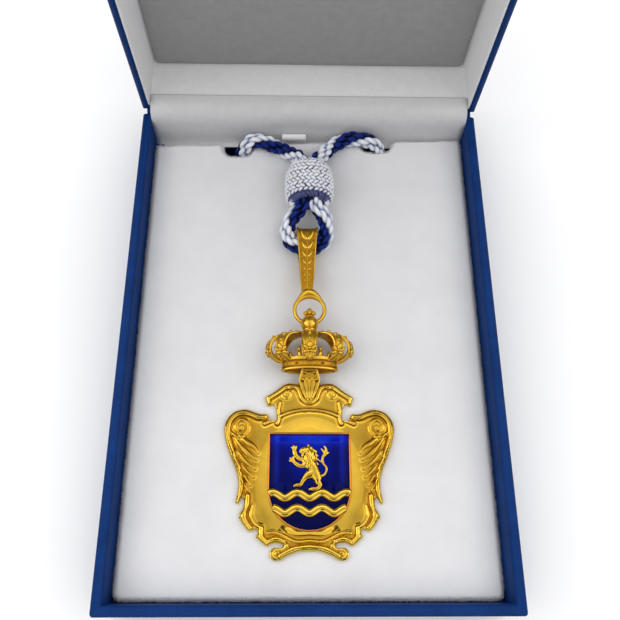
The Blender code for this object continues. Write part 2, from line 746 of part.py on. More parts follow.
# Shield: back plate, raised rim and the two wavy bars.
shield_low = seat_z + SEAT
shield_floor = shield_low + SHIELD_PLATE
shield = place(
    "shield", outline_mesh(shield_outline(0), shield_low, shield_low + SHIELD_RIM_HEIGHT), COPPER_GILT, PARTS
)
cells = cutter("cells", outline_mesh(shield_outline(SHIELD_RIM), shield_floor, BASE_HEIGHT * 2))
cut(shield, cells)


def wave(x):
    return BAR_WAVE * math.cos(math.tau * (x - BAR_PERIOD / 2) / BAR_PERIOD)


def between_waves(upper, lower, margin):
    """An outline between two wavy lines, each given by its depth below the shield's top or none."""
    steps = 28
    reach = shield_half - SHIELD_RIM / 2
    xs = [-reach + 2 * reach * i / steps for i in range(steps + 1)]
    if upper is None:
        top = [(x, SHIELD_TOP_Y + SHIELD_RIM) for x in xs]
    else:
        top = [(x, SHIELD_TOP_Y - upper + wave(x) - margin) for x in xs]
    if lower is None:
        bottom = [(x, shield_foot_y - SHIELD_RIM) for x in xs]
    else:
        bottom = [(x, SHIELD_TOP_Y - lower + wave(x) + margin) for x in xs]
    return top + bottom[::-1]


inside = shield_outline(SHIELD_RIM / 2)
bars = []
for name, down in (("upper_bar", UPPER_BAR_DOWN), ("lower_bar", LOWER_BAR_DOWN)):
    bar = cutter(
        name,
        outline_mesh(
            between_waves(down - BAR_WIDTH / 2, down + BAR_WIDTH / 2, 0),
            shield_floor - SHIELD_PLATE / 2,
            shield_low + BAR_RISE,
        ),
    )
    limit = cutter(name + "_limit", outline_mesh(inside, shield_low, BASE_HEIGHT * 2))
    keep(bar, limit)
    bars.append(bar)
join(shield, *bars)

# Enamel: one cushion for each cell of the shield.
enamel_low = shield_floor + SEAT
enamel_edge = shield_low + SHIELD_RIM_HEIGHT - SEAT
enamel_middle_y = SHIELD_TOP_Y - UPPER_BAR_DOWN / 2
cell = shield_outline(SHIELD_RIM + SEAT)
enamels = []
for name, upper, lower, swell in (
    ("enamel_field", None, UPPER_BAR_DOWN - BAR_WIDTH / 2, ENAMEL_CROWN),
    ("enamel_band", UPPER_BAR_DOWN + BAR_WIDTH / 2, LOWER_BAR_DOWN - BAR_WIDTH / 2, 0),
    ("enamel_base", LOWER_BAR_DOWN + BAR_WIDTH / 2, None, 0),
):
    slab = box_mesh(
        (-SHIELD_WIDTH, shield_foot_y - SHIELD_WIDTH, 0), (SHIELD_WIDTH, SHIELD_TOP_Y + SHIELD_WIDTH, enamel_edge)
    )
    enamel = place(name, slab, ENAMEL, PARTS)
    if swell:
        radii = (shield_half * 1.02, UPPER_BAR_DOWN * 0.72, SHIELD_PLATE + swell)
        cushion = ball_mesh((0, enamel_middle_y, enamel_edge - SHIELD_PLATE), radii, 32, 16)
        join(enamel, cutter(name + "_cushion", cushion))
    walls = cutter(name + "_walls", outline_mesh(cell, enamel_low, BASE_HEIGHT * 2))
    strip = cutter(name + "_strip", outline_mesh(between_waves(upper, lower, SEAT), -BASE_HEIGHT, BASE_HEIGHT * 3))
    keep(enamel, walls, strip)
    enamels.append(enamel)

# The lion on the field, flat at the back.
charge_low = enamel_edge + ENAMEL_CROWN + SEAT
charge_foot_y = SHIELD_TOP_Y - UPPER_BAR_DOWN + BAR_WIDTH / 2 + BAR_WAVE + FIT
unit = CHARGE_HEIGHT / 100
limbs = []
for name, rows in CHARGE_LIMBS.items():
    run = smooth_run(rows, 2)
    path = [(across * unit, charge_foot_y + up * unit, 0) for across, up, thick in run]
    mesh = wire_mesh(path, [thick * unit for across, up, thick in run], 1)
    squash = CHARGE_THICKNESS / (15 * unit)
    mesh.transform(Matrix.Translation((0, 0, charge_low)) @ Matrix.Diagonal((1, 1, squash, 1)))
    limbs.append(mesh)
charge = place("charge", limbs[0], GILT, PARTS)
join(charge, *[cutter("limb", mesh) for mesh in limbs[1:]])
charge_back = cutter(
    "charge_back", box_mesh((-BADGE_WIDTH, -CASE_LENGTH, -BASE_HEIGHT), (BADGE_WIDTH, CASE_LENGTH, charge_low))
)
cut(charge, charge_back)

# Crown: flattened band, eight arches, leaves, pearls, orb and finial.
band_half = CROWN_BAND_WIDTH / 2
crown_half = CROWN_WIDTH / 2


def ellipse(radius, sides=32):
    return [
        (radius * math.sin(math.tau * i / sides), radius * CROWN_FLATTEN * math.cos(math.tau * i / sides))
        for i in range(sides)
    ]


# Turns an outline drawn in X and Z so that it is extruded along Y.
UPRIGHT = Matrix(((1, 0, 0, 0), (0, 0, 1, 0), (0, 1, 0, crown_mid_z), (0, 0, 0, 1)))
crown = place(
    "crown", outline_mesh(ellipse(band_half), CROWN_BOTTOM_Y, band_top_y, UPRIGHT), MATTE_GILT, PARTS
)
bore_half = band_half - CROWN_BAND_WALL
flat_bore = (band_half * CROWN_FLATTEN - CROWN_BAND_WALL) / CROWN_FLATTEN
under_band = [(x * bore_half / flat_bore, z) for x, z in ellipse(flat_bore)]
cut(
    crown,
    cutter("band_foot", outline_mesh(under_band, CROWN_BOTTOM_Y - CROWN_RISE, floor_low_y, UPRIGHT)),
    cutter("band_head", outline_mesh(under_band, floor_low_y + floor_thickness, CROWN_RISE, UPRIGHT)),
)
hub_y = band_top_y + 0.71 * CROWN_RISE

# The arch's middle line: share of the crown's half width, share of the rise above the band.
ARCH_LINE = [(0.05, 0.71), (0.30, 0.74), (0.55, 0.73), (0.77, 0.64), (0.91, 0.48), (0.945, 0.31), (0.90, 0.15), (0.78, 0.03), (0.645, -0.08)]
arch_run = smooth_run(ARCH_LINE, 2)
crown_pieces = []
for i in range(8):
    turn = math.tau * i / 8
    reach = math.hypot(math.sin(turn), CROWN_FLATTEN * math.cos(turn))
    line = [Vector((r * crown_half * reach, band_top_y + y * CROWN_RISE)) for r, y in arch_run]
    outer = []
    inner = []
    for k, point in enumerate(line):
        ahead = line[min(k + 1, len(line) - 1)] - line[max(k - 1, 0)]
        normal = Vector((-ahead.y, ahead.x)).normalized() * ARCH_THICKNESS / 2
        outer.append(tuple(point + normal))
        inner.append(tuple(point - normal))
    heading = math.atan2(CROWN_FLATTEN * math.cos(turn), math.sin(turn))
    spin = Matrix.Rotation(-heading, 4, "Y")
    width = ARCH_WIDTH * (0.75 if i % 4 == 2 else 1.0)
    mesh = outline_mesh(outer + inner[::-1], -width / 2, width / 2, Matrix.Translation((0, 0, crown_mid_z)) @ spin)
    crown_pieces.append(cutter("arch", mesh))
for i in range(16):
    turn = math.tau * i / 16
    x = (band_half - CROWN_BAND_WALL / 2) * math.sin(turn)
    z = crown_mid_z + (band_half * CROWN_FLATTEN - CROWN_BAND_WALL / 2) * math.cos(turn)
    if i % 2:
        top = band_top_y + 3.2 * PEARL_RADIUS
        stem = rod_mesh((x, band_top_y - PEARL_RADIUS, z), (x, top, z), PEARL_RADIUS * 1.1, 6, PEARL_RADIUS * 0.6)
        crown_pieces.append(cutter("point", stem))
        crown_pieces.append(cutter("pearl", ball_mesh((x, top + PEARL_RADIUS * 0.6, z), [PEARL_RADIUS] * 3, 8, 6)))
    else:
        swell = 1.08
        crown_pieces.append(
            cutter(
                "leaf",
                ball_mesh(
                    (x * swell, band_top_y + 1.4 * PEARL_RADIUS, crown_mid_z + (z - crown_mid_z) * swell),
                    (ARCH_WIDTH * 0.52, ARCH_WIDTH * 0.5, ARCH_THICKNESS * 0.75),
                    10,
                    6,
                ),
            )
        )
orb_y = hub_y + 0.55 * ORB_RADIUS + ARCH_THICKNESS
orb_top_y = orb_y + ORB_RADIUS
crown_pieces += [
    cutter(
        "hub",
        rod_mesh((0, hub_y - ARCH_THICKNESS * 0.6, crown_mid_z), (0, hub_y + ARCH_THICKNESS * 0.6, crown_mid_z), ORB_RADIUS * 0.9, 20),
    ),
    cutter(
        "collar",
        rod_mesh((0, orb_y - 0.75 * ORB_RADIUS, crown_mid_z), (0, orb_y - 0.3 * ORB_RADIUS, crown_mid_z), ORB_RADIUS * 1.05, 20),
    ),
    cutter("orb", ball_mesh((0, orb_y, crown_mid_z), [ORB_RADIUS] * 3, 20, 14)),
    cutter(
        "stem",
        rod_mesh((0, orb_top_y - ORB_RADIUS * 0.2, crown_mid_z), (0, orb_top_y + 0.5 * FINIAL_HEIGHT, crown_mid_z), 0.36 * FINIAL_HEIGHT, 10, 0.25 * FINIAL_HEIGHT),
    ),
    cutter("finial_tip", ball_mesh((0, orb_top_y + 0.66 * FINIAL_HEIGHT, crown_mid_z), [0.34 * FINIAL_HEIGHT] * 3, 10, 8)),
    cutter("finial_left", ball_mesh((-0.36 * FINIAL_HEIGHT, orb_top_y + 0.42 * FINIAL_HEIGHT, crown_mid_z), [0.25 * FINIAL_HEIGHT] * 3, 8, 6)),
    cutter("finial_right", ball_mesh((0.36 * FINIAL_HEIGHT, orb_top_y + 0.42 * FINIAL_HEIGHT, crown_mid_z), [0.25 * FINIAL_HEIGHT] * 3, 8, 6)),
]
join(crown, *crown_pieces)


def ring_mesh(wire_radius, around, sides):
    """A ring lying flat, its lowest arc inside the orb."""
    mesh = bpy.data.meshes.new("ring")
    form = bmesh.new()
    bmesh.ops.create_circle(form, segments=sides, radius=wire_radius)
    bmesh.ops.rotate(form, cent=(0, 0, 0), matrix=Matrix.Rotation(math.pi / 2, 3, "X"), verts=form.verts)
    bmesh.ops.translate(form, vec=(ring_major, 0, 0), verts=form.verts)
    bmesh.ops.spin(
        form, geom=form.verts[:] + form.edges[:], cent=(0, 0, 0), axis=(0, 0, 1), angle=math.tau, steps=around
    )
    bmesh.ops.remove_doubles(form, verts=form.verts, dist=1e-7)
    bmesh.ops.recalc_face_normals(form, faces=form.faces)
    bmesh.ops.translate(form, vec=(0, ring_y, crown_mid_z), verts=form.verts)
    form.to_mesh(mesh)
    form.free()
    return mesh


wire_radius = RING_WIRE / 2
ring_major = RING_DIAMETER / 2 - wire_radius
ring_y = orb_y + ring_major + 0.1 * ORB_RADIUS
orb_bore = cutter("orb_bore", ring_mesh(wire_radius + RING_CLEARANCE, 48, 10))
cut(crown, orb_bore)

# Bail: a tapered strip folded at its top, with the ring soldered to its foot.
bail_x = BAIL_LEAN
bail_foot_y = ring_y + ring_major + BAIL_SHOULDER
bail_top_y = bail_foot_y + BAIL_LENGTH
foot_half = BAIL_FOOT_WIDTH / 2
top_half = BAIL_TOP_WIDTH / 2
bail_low = jewel_back
bail_high = bail_low + BAIL_DEPTH
bend = BAIL_DEPTH / 2


def bail_side(inset):
    """The strip's side view: flat front, back plate rising to the foot, round fold at the top."""
    radius = bend - inset
    middle_z = bail_low + bend
    fold_y = bail_top_y - bend
    outline = [(fold_y - 0.35 * BAIL_LENGTH * (1 - 4 * inset / bend * 0.1), bail_high - inset - 0.04 * bend)]
    for i in range(9):
        turn = math.pi / 2 - math.pi * i / 8
        outline.append((fold_y + radius * math.cos(turn), middle_z + radius * math.sin(turn)))
    outline.append((fold_y - 0.28 * BAIL_LENGTH, bail_low + inset + 0.02 * bend))
    return outline


foot_low = crown_mid_z - wire_radius - 0.3 * BAIL_STRIP
foot_high = crown_mid_z + wire_radius + 0.3 * BAIL_STRIP
outer_side = [(bail_foot_y, foot_low), (bail_foot_y, foot_high)] + bail_side(0)
inner_foot_y = bail_foot_y + 0.24 * BAIL_LENGTH
inner_foot_z = (foot_low + foot_high) / 2 - 0.1 * BAIL_STRIP
inner_side = [(inner_foot_y, inner_foot_z), (inner_foot_y + 0.1 * BAIL_STRIP, inner_foot_z + 0.2 * BAIL_STRIP)]
inner_side += bail_side(BAIL_STRIP)
bail_plan = [
    (bail_x - foot_half, bail_foot_y),
    (bail_x + foot_half, bail_foot_y),
    (bail_x + top_half, bail_top_y),
    (bail_x - top_half, bail_top_y),
]
bail = place(
    "bail", outline_mesh(outer_side, bail_x - BAIL_TOP_WIDTH, bail_x + BAIL_TOP_WIDTH, SIDEWAYS), MATTE_GILT, PARTS
)
cut(bail, cutter("bail_inside", outline_mesh(inner_side, -BADGE_WIDTH, BADGE_WIDTH, SIDEWAYS)))
keep(bail, cutter("bail_plan", outline_mesh(bail_plan, 0, BASE_HEIGHT * 2)))
ring = cutter("ring", ring_mesh(wire_radius, 32, 8))
shoulder_plan = [
    (bail_x - foot_half, bail_foot_y + 0.3 * RING_WIRE),
    (bail_x - foot_half * 1.1, bail_foot_y - 0.5 * BAIL_SHOULDER),
    (-0.72 * ring_major, ring_y + 0.72 * ring_major),
    (-0.35 * ring_major, ring_y + 0.94 * ring_major),
    (0.35 * ring_major, ring_y + 0.94 * ring_major),
    (0.72 * ring_major, ring_y + 0.72 * ring_major),
    (bail_x + foot_half * 1.2, bail_foot_y - 0.5 * BAIL_SHOULDER),
    (bail_x + foot_half, bail_foot_y + 0.3 * RING_WIRE),
]
solder = cutter("solder", outline_mesh(shoulder_plan, foot_low + 0.1 * BAIL_STRIP, foot_high - 0.1 * BAIL_STRIP))
join(bail, ring, solder)

# Slide knot: an oval barrel with a slot for the two legs side by side.
# Its sections: share of the length from its foot, share of the width, share of the depth.
KNOT_SECTIONS = [(0.0, 0.76, 0.80), (0.06, 0.90, 0.92), (0.25, 0.98, 1.0), (0.5, 1.0, 1.0), (0.75, 0.93, 0.97), (0.92, 0.78, 0.86), (1.0, 0.66, 0.74)]
cord_radius = CORD_DIAMETER / 2
knot_z = jewel_back + KNOT_DEPTH / 2


def knot_mesh(sides=20):
    mesh = bpy.data.meshes.new("knot")
    form = bmesh.new()
    rings = []
    for along, wide, deep in KNOT_SECTIONS:
        ring_points = []
        for i in range(sides):
            turn = math.tau * i / sides
            x = math.sin(turn) * wide * KNOT_WIDTH / 2
            z = math.cos(turn) * deep * KNOT_DEPTH / 2
            ring_points.append(form.verts.new((x, KNOT_FOOT_Y + along * KNOT_LENGTH, knot_z + z)))
        rings.append(ring_points)
    for a, b in zip(rings, rings[1:]):
        for i in range(sides):
            j = (i + 1) % sides
            form.faces.new((a[i], a[j], b[j], b[i]))
    form.faces.new(rings[0])
    form.faces.new(rings[-1])
    bmesh.ops.recalc_face_normals(form, faces=form.faces)
    form.to_mesh(mesh)
    form.free()
    return mesh


slide_knot = place("slide_knot", knot_mesh(), SILVER_THREAD, PARTS)
leg_x = cord_radius + CORD_CLEARANCE
slot_radius = cord_radius + CORD_CLEARANCE


def slot_outline(grow):
    outline = []
    for i in range(17):
        turn = math.pi * i / 16
        outline.append((leg_x * 1.05 + slot_radius * grow * math.sin(turn), slot_radius * grow * math.cos(turn)))
    return outline + [(-x, -z) for x, z in outline]


KNOT_PLANE = Matrix(((1, 0, 0, 0), (0, 0, 1, 0), (0, 1, 0, knot_z), (0, 0, 0, 1)))
slot = cutter("slot", outline_mesh(slot_outline(1.0), 0, CASE_LENGTH, KNOT_PLANE))
cut(slide_knot, slot)

# Cord: the worn loop, whose hidden stretch lies under the pad, and the short loop under the knot.
floor_z = BASE_FLOOR + FIT + cord_radius
LEVELS = {
    "knot": knot_z,
    "rising": 0.45 * knot_z + 0.55 * (pad_top + FIT + cord_radius),
    "pad": pad_top + FIT + cord_radius,
    "dip": pad_top + 0.6 * cord_radius,
    "notch": pad_bottom + 0.6 * cord_radius,
    "drop": pad_bottom - 1.1 * cord_radius,
    "sink": floor_z + 0.4 * cord_radius,
    "floor": floor_z,
    "loose": (knot_z + bail_low + bend) / 2 + FIT,
    "loop": bail_low + bend - FIT,
    "bail": bail_low + bend,
}


def cord(name, route):
    points = [(x, y, LEVELS[level]) for level, x, y in route]
    path = cord_run(points, 0.85 * CORD_DIAMETER, 2.8 * CORD_DIAMETER, floor_z)
    mesh = wire_mesh([tuple(p) for p in path], [cord_radius] * len(path), 2)
    return place(name, mesh, CORD_THREAD, PARTS)


neck_cord = cord("neck_cord", NECK_CORD_ROUTE)
loop_cord = cord("loop_cord", LOOP_CORD_ROUTE)

smooth_shade(hinge_rod, case_pad, cartouche, shield, charge, crown, bail, slide_knot, neck_cord, loop_cord, *enamels)
for part in PARTS.objects:
    if part.type == "MESH" and not part.data.materials:
        part.data.materials.append(GILT)
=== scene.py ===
import math

import bmesh
import bpy
import numpy as np
from mathutils import Matrix, Vector
from mathutils.geometry import delaunay_2d_cdt


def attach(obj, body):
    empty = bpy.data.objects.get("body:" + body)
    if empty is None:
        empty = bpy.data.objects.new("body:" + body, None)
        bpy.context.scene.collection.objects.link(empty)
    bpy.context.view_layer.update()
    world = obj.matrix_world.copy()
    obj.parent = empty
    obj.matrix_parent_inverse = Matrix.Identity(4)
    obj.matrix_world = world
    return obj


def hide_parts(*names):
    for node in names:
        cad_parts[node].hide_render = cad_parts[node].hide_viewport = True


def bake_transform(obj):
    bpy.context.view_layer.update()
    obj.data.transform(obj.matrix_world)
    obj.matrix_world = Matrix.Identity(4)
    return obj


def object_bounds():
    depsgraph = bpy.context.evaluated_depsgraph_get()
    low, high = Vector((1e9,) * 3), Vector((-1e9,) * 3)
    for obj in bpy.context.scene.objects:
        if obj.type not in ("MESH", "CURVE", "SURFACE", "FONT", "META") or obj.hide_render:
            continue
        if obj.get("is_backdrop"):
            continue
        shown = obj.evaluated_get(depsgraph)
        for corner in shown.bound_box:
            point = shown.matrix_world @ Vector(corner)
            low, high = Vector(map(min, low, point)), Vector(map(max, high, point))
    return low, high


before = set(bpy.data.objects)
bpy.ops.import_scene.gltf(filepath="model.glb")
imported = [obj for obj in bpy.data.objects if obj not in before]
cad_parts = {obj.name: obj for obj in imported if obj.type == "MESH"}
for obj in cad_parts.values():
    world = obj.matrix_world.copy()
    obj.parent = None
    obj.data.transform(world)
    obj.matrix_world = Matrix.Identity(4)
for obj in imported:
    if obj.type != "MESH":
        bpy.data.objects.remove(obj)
cadBox = [list(corner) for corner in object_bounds()]
mm = 0.001
chance = np.random.default_rng(7)


# small tools


def linear(code):
    channels = [int(code[i : i + 2], 16) / 255 for i in (0, 2, 4)]
    return (*[c / 12.92 if c <= 0.04045 else ((c + 0.055) / 1.055) ** 2.4 for c in channels], 1.0)


def addNode(tree, kind, settings=None, links=None):
    node = tree.nodes.new("ShaderNode" + kind)
    for name, value in (settings or {}).items():
        if name == "stops":
            ramp = node.color_ramp.elements
            ramp.remove(ramp[1])
            ramp[0].position, ramp[0].color = value[0][0], linear(value[0][1])
            for at, code in value[1:]:
                ramp.new(at).color = linear(code)
        elif isinstance(name, str) and hasattr(node, name):
            setattr(node, name, value)
        else:
            node.inputs[name].default_value = value
    for name, socket in (links or {}).items():
        tree.links.new(socket, node.inputs[name])
    return node


def plug(tree, node, links):
    for name, socket in links.items():
        tree.links.new(socket, node.inputs[name])


def newFinish(name, **sockets):
    finish = bpy.data.materials.new(name)
    finish.use_nodes = True
    tree = finish.node_tree
    shader = tree.nodes["Principled BSDF"]
    for socket, value in sockets.items():
        shader.inputs[socket.replace("_", " ")].default_value = value
    finish.diffuse_color = shader.inputs["Base Color"].default_value
    return finish, tree, shader


def finishWith(piece, finish):
    piece.data.materials.clear()
    piece.data.materials.append(finish)


def standFor(node, piece, finish=None, body="case"):
    # hands a finished piece over: the node it stands for, the body it moves with and its finish's slot
    if finish:
        finishWith(piece, finish)
    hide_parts(node)
    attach(piece, body)


def pickOnly(piece):
    bpy.ops.object.select_all(action="DESELECT")
    piece.select_set(True)
    bpy.context.view_layer.objects.active = piece


def named(name):
    piece = bpy.context.object
    piece.name = name
    return piece


def settle(piece):
    # every modifier and the object's own place go into the mesh
    pickOnly(piece)
    if piece.type != "MESH":
        bpy.ops.object.convert(target="MESH")
        piece = bpy.context.object
    for step in list(piece.modifiers):
        bpy.ops.object.modifier_apply(modifier=step.name)
    bpy.ops.object.transform_apply(location=True, rotation=True, scale=True)
    return piece


def joined(name, pieces):
    pickOnly(pieces[0])
    for piece in pieces[1:]:
        piece.select_set(True)
    if len(pieces) > 1:
        bpy.ops.object.join()
    return named(name)


def soften(piece, degrees):
    pickOnly(piece)
    bpy.ops.object.shade_smooth_by_angle(angle=math.radians(degrees))
    return piece


def pieceOf(name, mesh):
    mesh.shade_smooth()
    piece = bpy.data.objects.new(name, mesh)
    bpy.context.scene.collection.objects.link(piece)
    return piece


def meshFrom(name, points, faces):
    mesh = bpy.data.meshes.new(name)
    mesh.from_pydata([tuple(p) for p in np.asarray(points, float) * mm], [], faces)
    mesh.validate()
    return pieceOf(name, mesh)


def faceOut(piece):
    form = bmesh.new()
    form.from_mesh(piece.data)
    bmesh.ops.recalc_face_normals(form, faces=form.faces)
    form.to_mesh(piece.data)
    form.free()
    return piece


def smoothLine(points, steps):
    # a smooth curve through the given points, each with as many numbers as it has
    rows = np.array(points, float)
    ends = np.vstack([rows[:1], rows, rows[-1:]])
    t = np.arange(steps)[:, None] / steps
    run = []
    for a, b, c, d in zip(ends, ends[1:], ends[2:], ends[3:]):
        bend = (2 * a - 5 * b + 4 * c - d) * t**2 + (3 * b - a - 3 * c + d) * t**3
        run.append(0.5 * (2 * b + (c - a) * t + bend))
    return np.vstack(run + [rows[-1:]])


def alongOf(line):
    # at each point of a line: how far along it that is
    return np.concatenate([[0], np.cumsum(np.linalg.norm(np.diff(line, axis=0), axis=1))])


def aheadOf(line):
    ahead = np.gradient(line, axis=0)
    return ahead / np.linalg.norm(ahead, axis=1)[:, None]


def evenLine(points, gap, closed=False):
    rows = np.array(points, float)
    if closed:
        rows = np.vstack([rows, rows[:1]])
    along = alongOf(rows)
    count = max(int(round(along[-1] / gap)), 2)
    at = np.linspace(0, along[-1], count + 1)
    even = np.stack([np.interp(at, along, rows[:, k]) for k in range(rows.shape[1])], 1)
    return even[:-1] if closed else even


def directions(line):
    # at each point of a line: ahead, and two sides that turn as little as they can
    ahead = aheadOf(line)
    start = np.cross(ahead[0], [0.0, 0.0, 1.0])
    if np.linalg.norm(start) < 0.1:
        start = np.cross(ahead[0], [0.0, 1.0, 0.0])
    sides = [start / np.linalg.norm(start)]
    for step in ahead[1:]:
        side = sides[-1] - step * (sides[-1] @ step)
        sides.append(side / np.linalg.norm(side))
    sides = np.array(sides)
    return ahead, sides, np.cross(ahead, sides)


def tubes(name, lines, radii, around, picks=None):
    # round tubes with closed ends in one mesh, its UV in millimetres along and in turns around
    points, faces, uvs, looks = [], [], [], []
    turns = np.arange(around) / around * math.tau
    base = 0
    for k, line in enumerate(lines):
        line = np.asarray(line, float)
        count = len(line)
        radius = np.broadcast_to(radii[k], (count,))
        _, side, up = directions(line)
        ring = side[:, None] * np.cos(turns)[None, :, None] + up[:, None] * np.sin(turns)[None, :, None]
        points.append((line[:, None] + ring * radius[:, None, None]).reshape(-1, 3))
        along = alongOf(line)
        i, j = np.meshgrid(np.arange(count - 1), np.arange(around), indexing="ij")
        i, j = i.ravel(), j.ravel()
        n = (j + 1) % around
        quads = np.stack([i * around + j, (i + 1) * around + j, (i + 1) * around + n, i * around + n], 1)
        faces += (quads[:, ::-1] + base).tolist()
        u = np.stack([along[i], along[i + 1], along[i + 1], along[i]], 1)[:, ::-1]
        v = np.stack([j, j, j + 1, j + 1], 1)[:, ::-1] / around
        uvs.append(np.stack([u, v], 2).reshape(-1, 2))
        faces.append([base + a for a in range(around)])
        faces.append([base + (count - 1) * around + a for a in range(around)][::-1])
        uvs.append(np.zeros((2 * around, 2)))
        looks += [0 if picks is None else picks[k]] * (len(quads) + 2)
        base += count * around
    piece = meshFrom(name, np.vstack(points), faces)
    layer = piece.data.uv_layers.new(name="UVMap")
    layer.data.foreach_set("uv", np.vstack(uvs).astype(np.float32).ravel())
    piece.data.polygons.foreach_set("material_index", looks)
    return faceOut(piece)


def nearLine(points, line, closed=False):
    # for each point: how far the line is, and how far along it (0 to 1) the nearest place is
    line = np.asarray(line, float)
    if closed:
        line = np.vstack([line, line[:1]])
    best = np.full(len(points), 1e9)
    share = np.zeros(len(points))
    lengths = np.linalg.norm(np.diff(line[:, :2], axis=0), axis=1)
    reach = np.concatenate([[0], np.cumsum(lengths)])
    for k, (a, b) in enumerate(zip(line[:-1, :2], line[1:, :2])):
        run = b - a
        t = np.clip(((points - a) @ run) / max(run @ run, 1e-12), 0, 1)
        away = np.linalg.norm(points - a - t[:, None] * run, axis=1)
        closer = away < best
        best[closer] = away[closer]
        share[closer] = ((reach[k] + t * lengths[k]) / reach[-1])[closer]
    return best, share


def insideOf(points, outline):
    inside = np.zeros(len(points), bool)
    for (ax, ay), (bx, by) in zip(outline, np.roll(outline, -1, axis=0)):
        if ay == by:
            continue
        crosses = (ay > points[:, 1]) != (by > points[:, 1])
        inside ^= crosses & (points[:, 0] < (bx - ax) * (points[:, 1] - ay) / (by - ay) + ax)
    return inside


def ofKind(items, kind):
    return [item for item in items if isinstance(item, kind)]


def reliefPlate(name, outline, heightOf, low, gap, backOf=None):
    # a closed plate on an outline in millimetres: its face follows heightOf(points, distance from the edge),
    # and its back is flat at low or follows backOf(x, y)
    edge = evenLine(outline, gap, closed=True)
    lowest, highest = edge.min(0), edge.max(0)
    xs = np.arange(lowest[0], highest[0], gap)
    ys = np.arange(lowest[1], highest[1], gap * 0.866)
    grid = np.stack(np.meshgrid(xs, ys), 2)
    grid[1::2, :, 0] += gap / 2
    grid = grid.reshape(-1, 2)
    grid = grid[insideOf(grid, edge)]
    grid = grid[nearLine(grid, edge, closed=True)[0] > 0.5 * gap]
    flat = [Vector(p) for p in np.vstack([edge, grid])]
    made = delaunay_2d_cdt(flat, [], [list(range(len(edge)))], 1, 1e-7)
    points = np.array([(p.x, p.y) for p in made[0]])
    away = nearLine(points, edge, closed=True)[0]
    face = np.column_stack([points, heightOf(points, away)])
    form = bmesh.new()
    verts = [form.verts.new(p * mm) for p in face]
    for a, b, c in made[2]:
        form.faces.new((verts[a], verts[b], verts[c]))
    bmesh.ops.recalc_face_normals(form, faces=form.faces)
    if sum(f.normal.z for f in form.faces) < 0:
        bmesh.ops.reverse_faces(form, faces=form.faces)
    if backOf is None:
        rim = [e for e in form.edges if e.is_boundary]
        walls = bmesh.ops.extrude_edge_only(form, edges=rim)["geom"]
        for vert in ofKind(walls, bmesh.types.BMVert):
            vert.co.z = low * mm
        bmesh.ops.holes_fill(form, edges=ofKind(walls, bmesh.types.BMEdge), sides=0)
    else:
        back = bmesh.ops.duplicate(form, geom=form.verts[:] + form.edges[:] + form.faces[:])["geom"]
        for vert in ofKind(back, bmesh.types.BMVert):
            vert.co.z = backOf(vert.co.x / mm, vert.co.y / mm) * mm
        bmesh.ops.reverse_faces(form, faces=ofKind(back, bmesh.types.BMFace))
        rim = [e for e in form.edges if e.is_boundary]
        bmesh.ops.bridge_loops(form, edges=rim)
    bmesh.ops.recalc_face_normals(form, faces=form.faces)
    mesh = bpy.data.meshes.new(name)
    form.to_mesh(mesh)
    form.free()
    return pieceOf(name, mesh)


def smoothMax(a, b, blend):
    mix = np.clip(0.5 + 0.5 * (a - b) / blend, 0, 1)
    return b + (a - b) * mix + blend * mix * (1 - mix)


def markPoints(piece, name, values):
    layer = piece.data.attributes.get(name) or piece.data.attributes.new(name, "FLOAT", "POINT")
    layer.data.foreach_set("value", np.clip(np.ravel(values), 0, 1).astype(np.float32))


def marksOf(piece, name):
    values = np.zeros(len(piece.data.vertices))
    piece.data.attributes[name].data.foreach_get("value", values)
    return values


def pointsOf(piece):
    # the piece's points in millimetres
    co = np.zeros(len(piece.data.vertices) * 3)
    piece.data.vertices.foreach_get("co", co)
    return co.reshape(-1, 3) / mm


def markHollows(piece, reach, scale):
    # how far each point lies below its surroundings, in the attribute "hollow": 0 proud, 0.5 level, 1 deep
    mesh = piece.data
    place = pointsOf(piece)
    count = len(place)
    normal = np.zeros(count * 3, np.float32)
    mesh.vertices.foreach_get("normal", normal)
    normal = normal.reshape(-1, 3)
    ends = np.zeros(len(mesh.edges) * 2, np.int32)
    mesh.edges.foreach_get("vertices", ends)
    ends = ends.reshape(-1, 2)
    degree = np.maximum(np.bincount(ends.ravel(), minlength=count), 1)[:, None]
    spread = place.copy()
    for _ in range(reach):
        total = np.zeros_like(spread)
        np.add.at(total, ends[:, 0], spread[ends[:, 1]])
        np.add.at(total, ends[:, 1], spread[ends[:, 0]])
        spread = 0.4 * spread + 0.6 * total / degree
    depth = ((spread - place) * normal).sum(1)
    markPoints(piece, "hollow", 0.5 + depth / scale / 2)


print("tools ready")

# camera at the photo's angle, then light and floor

view = {"lens": 38.40, "place": (-0.0041, -0.0761, 0.2392), "turn": (21.21, -1.10, -0.08)}
bpy.ops.object.camera_add(location=view["place"], rotation=[math.radians(a) for a in view["turn"]])
camera = named("camera")
camera.data.lens = view["lens"]
camera.data.sensor_width = 36
camera.data.clip_start = 0.01
bpy.context.scene.camera = camera

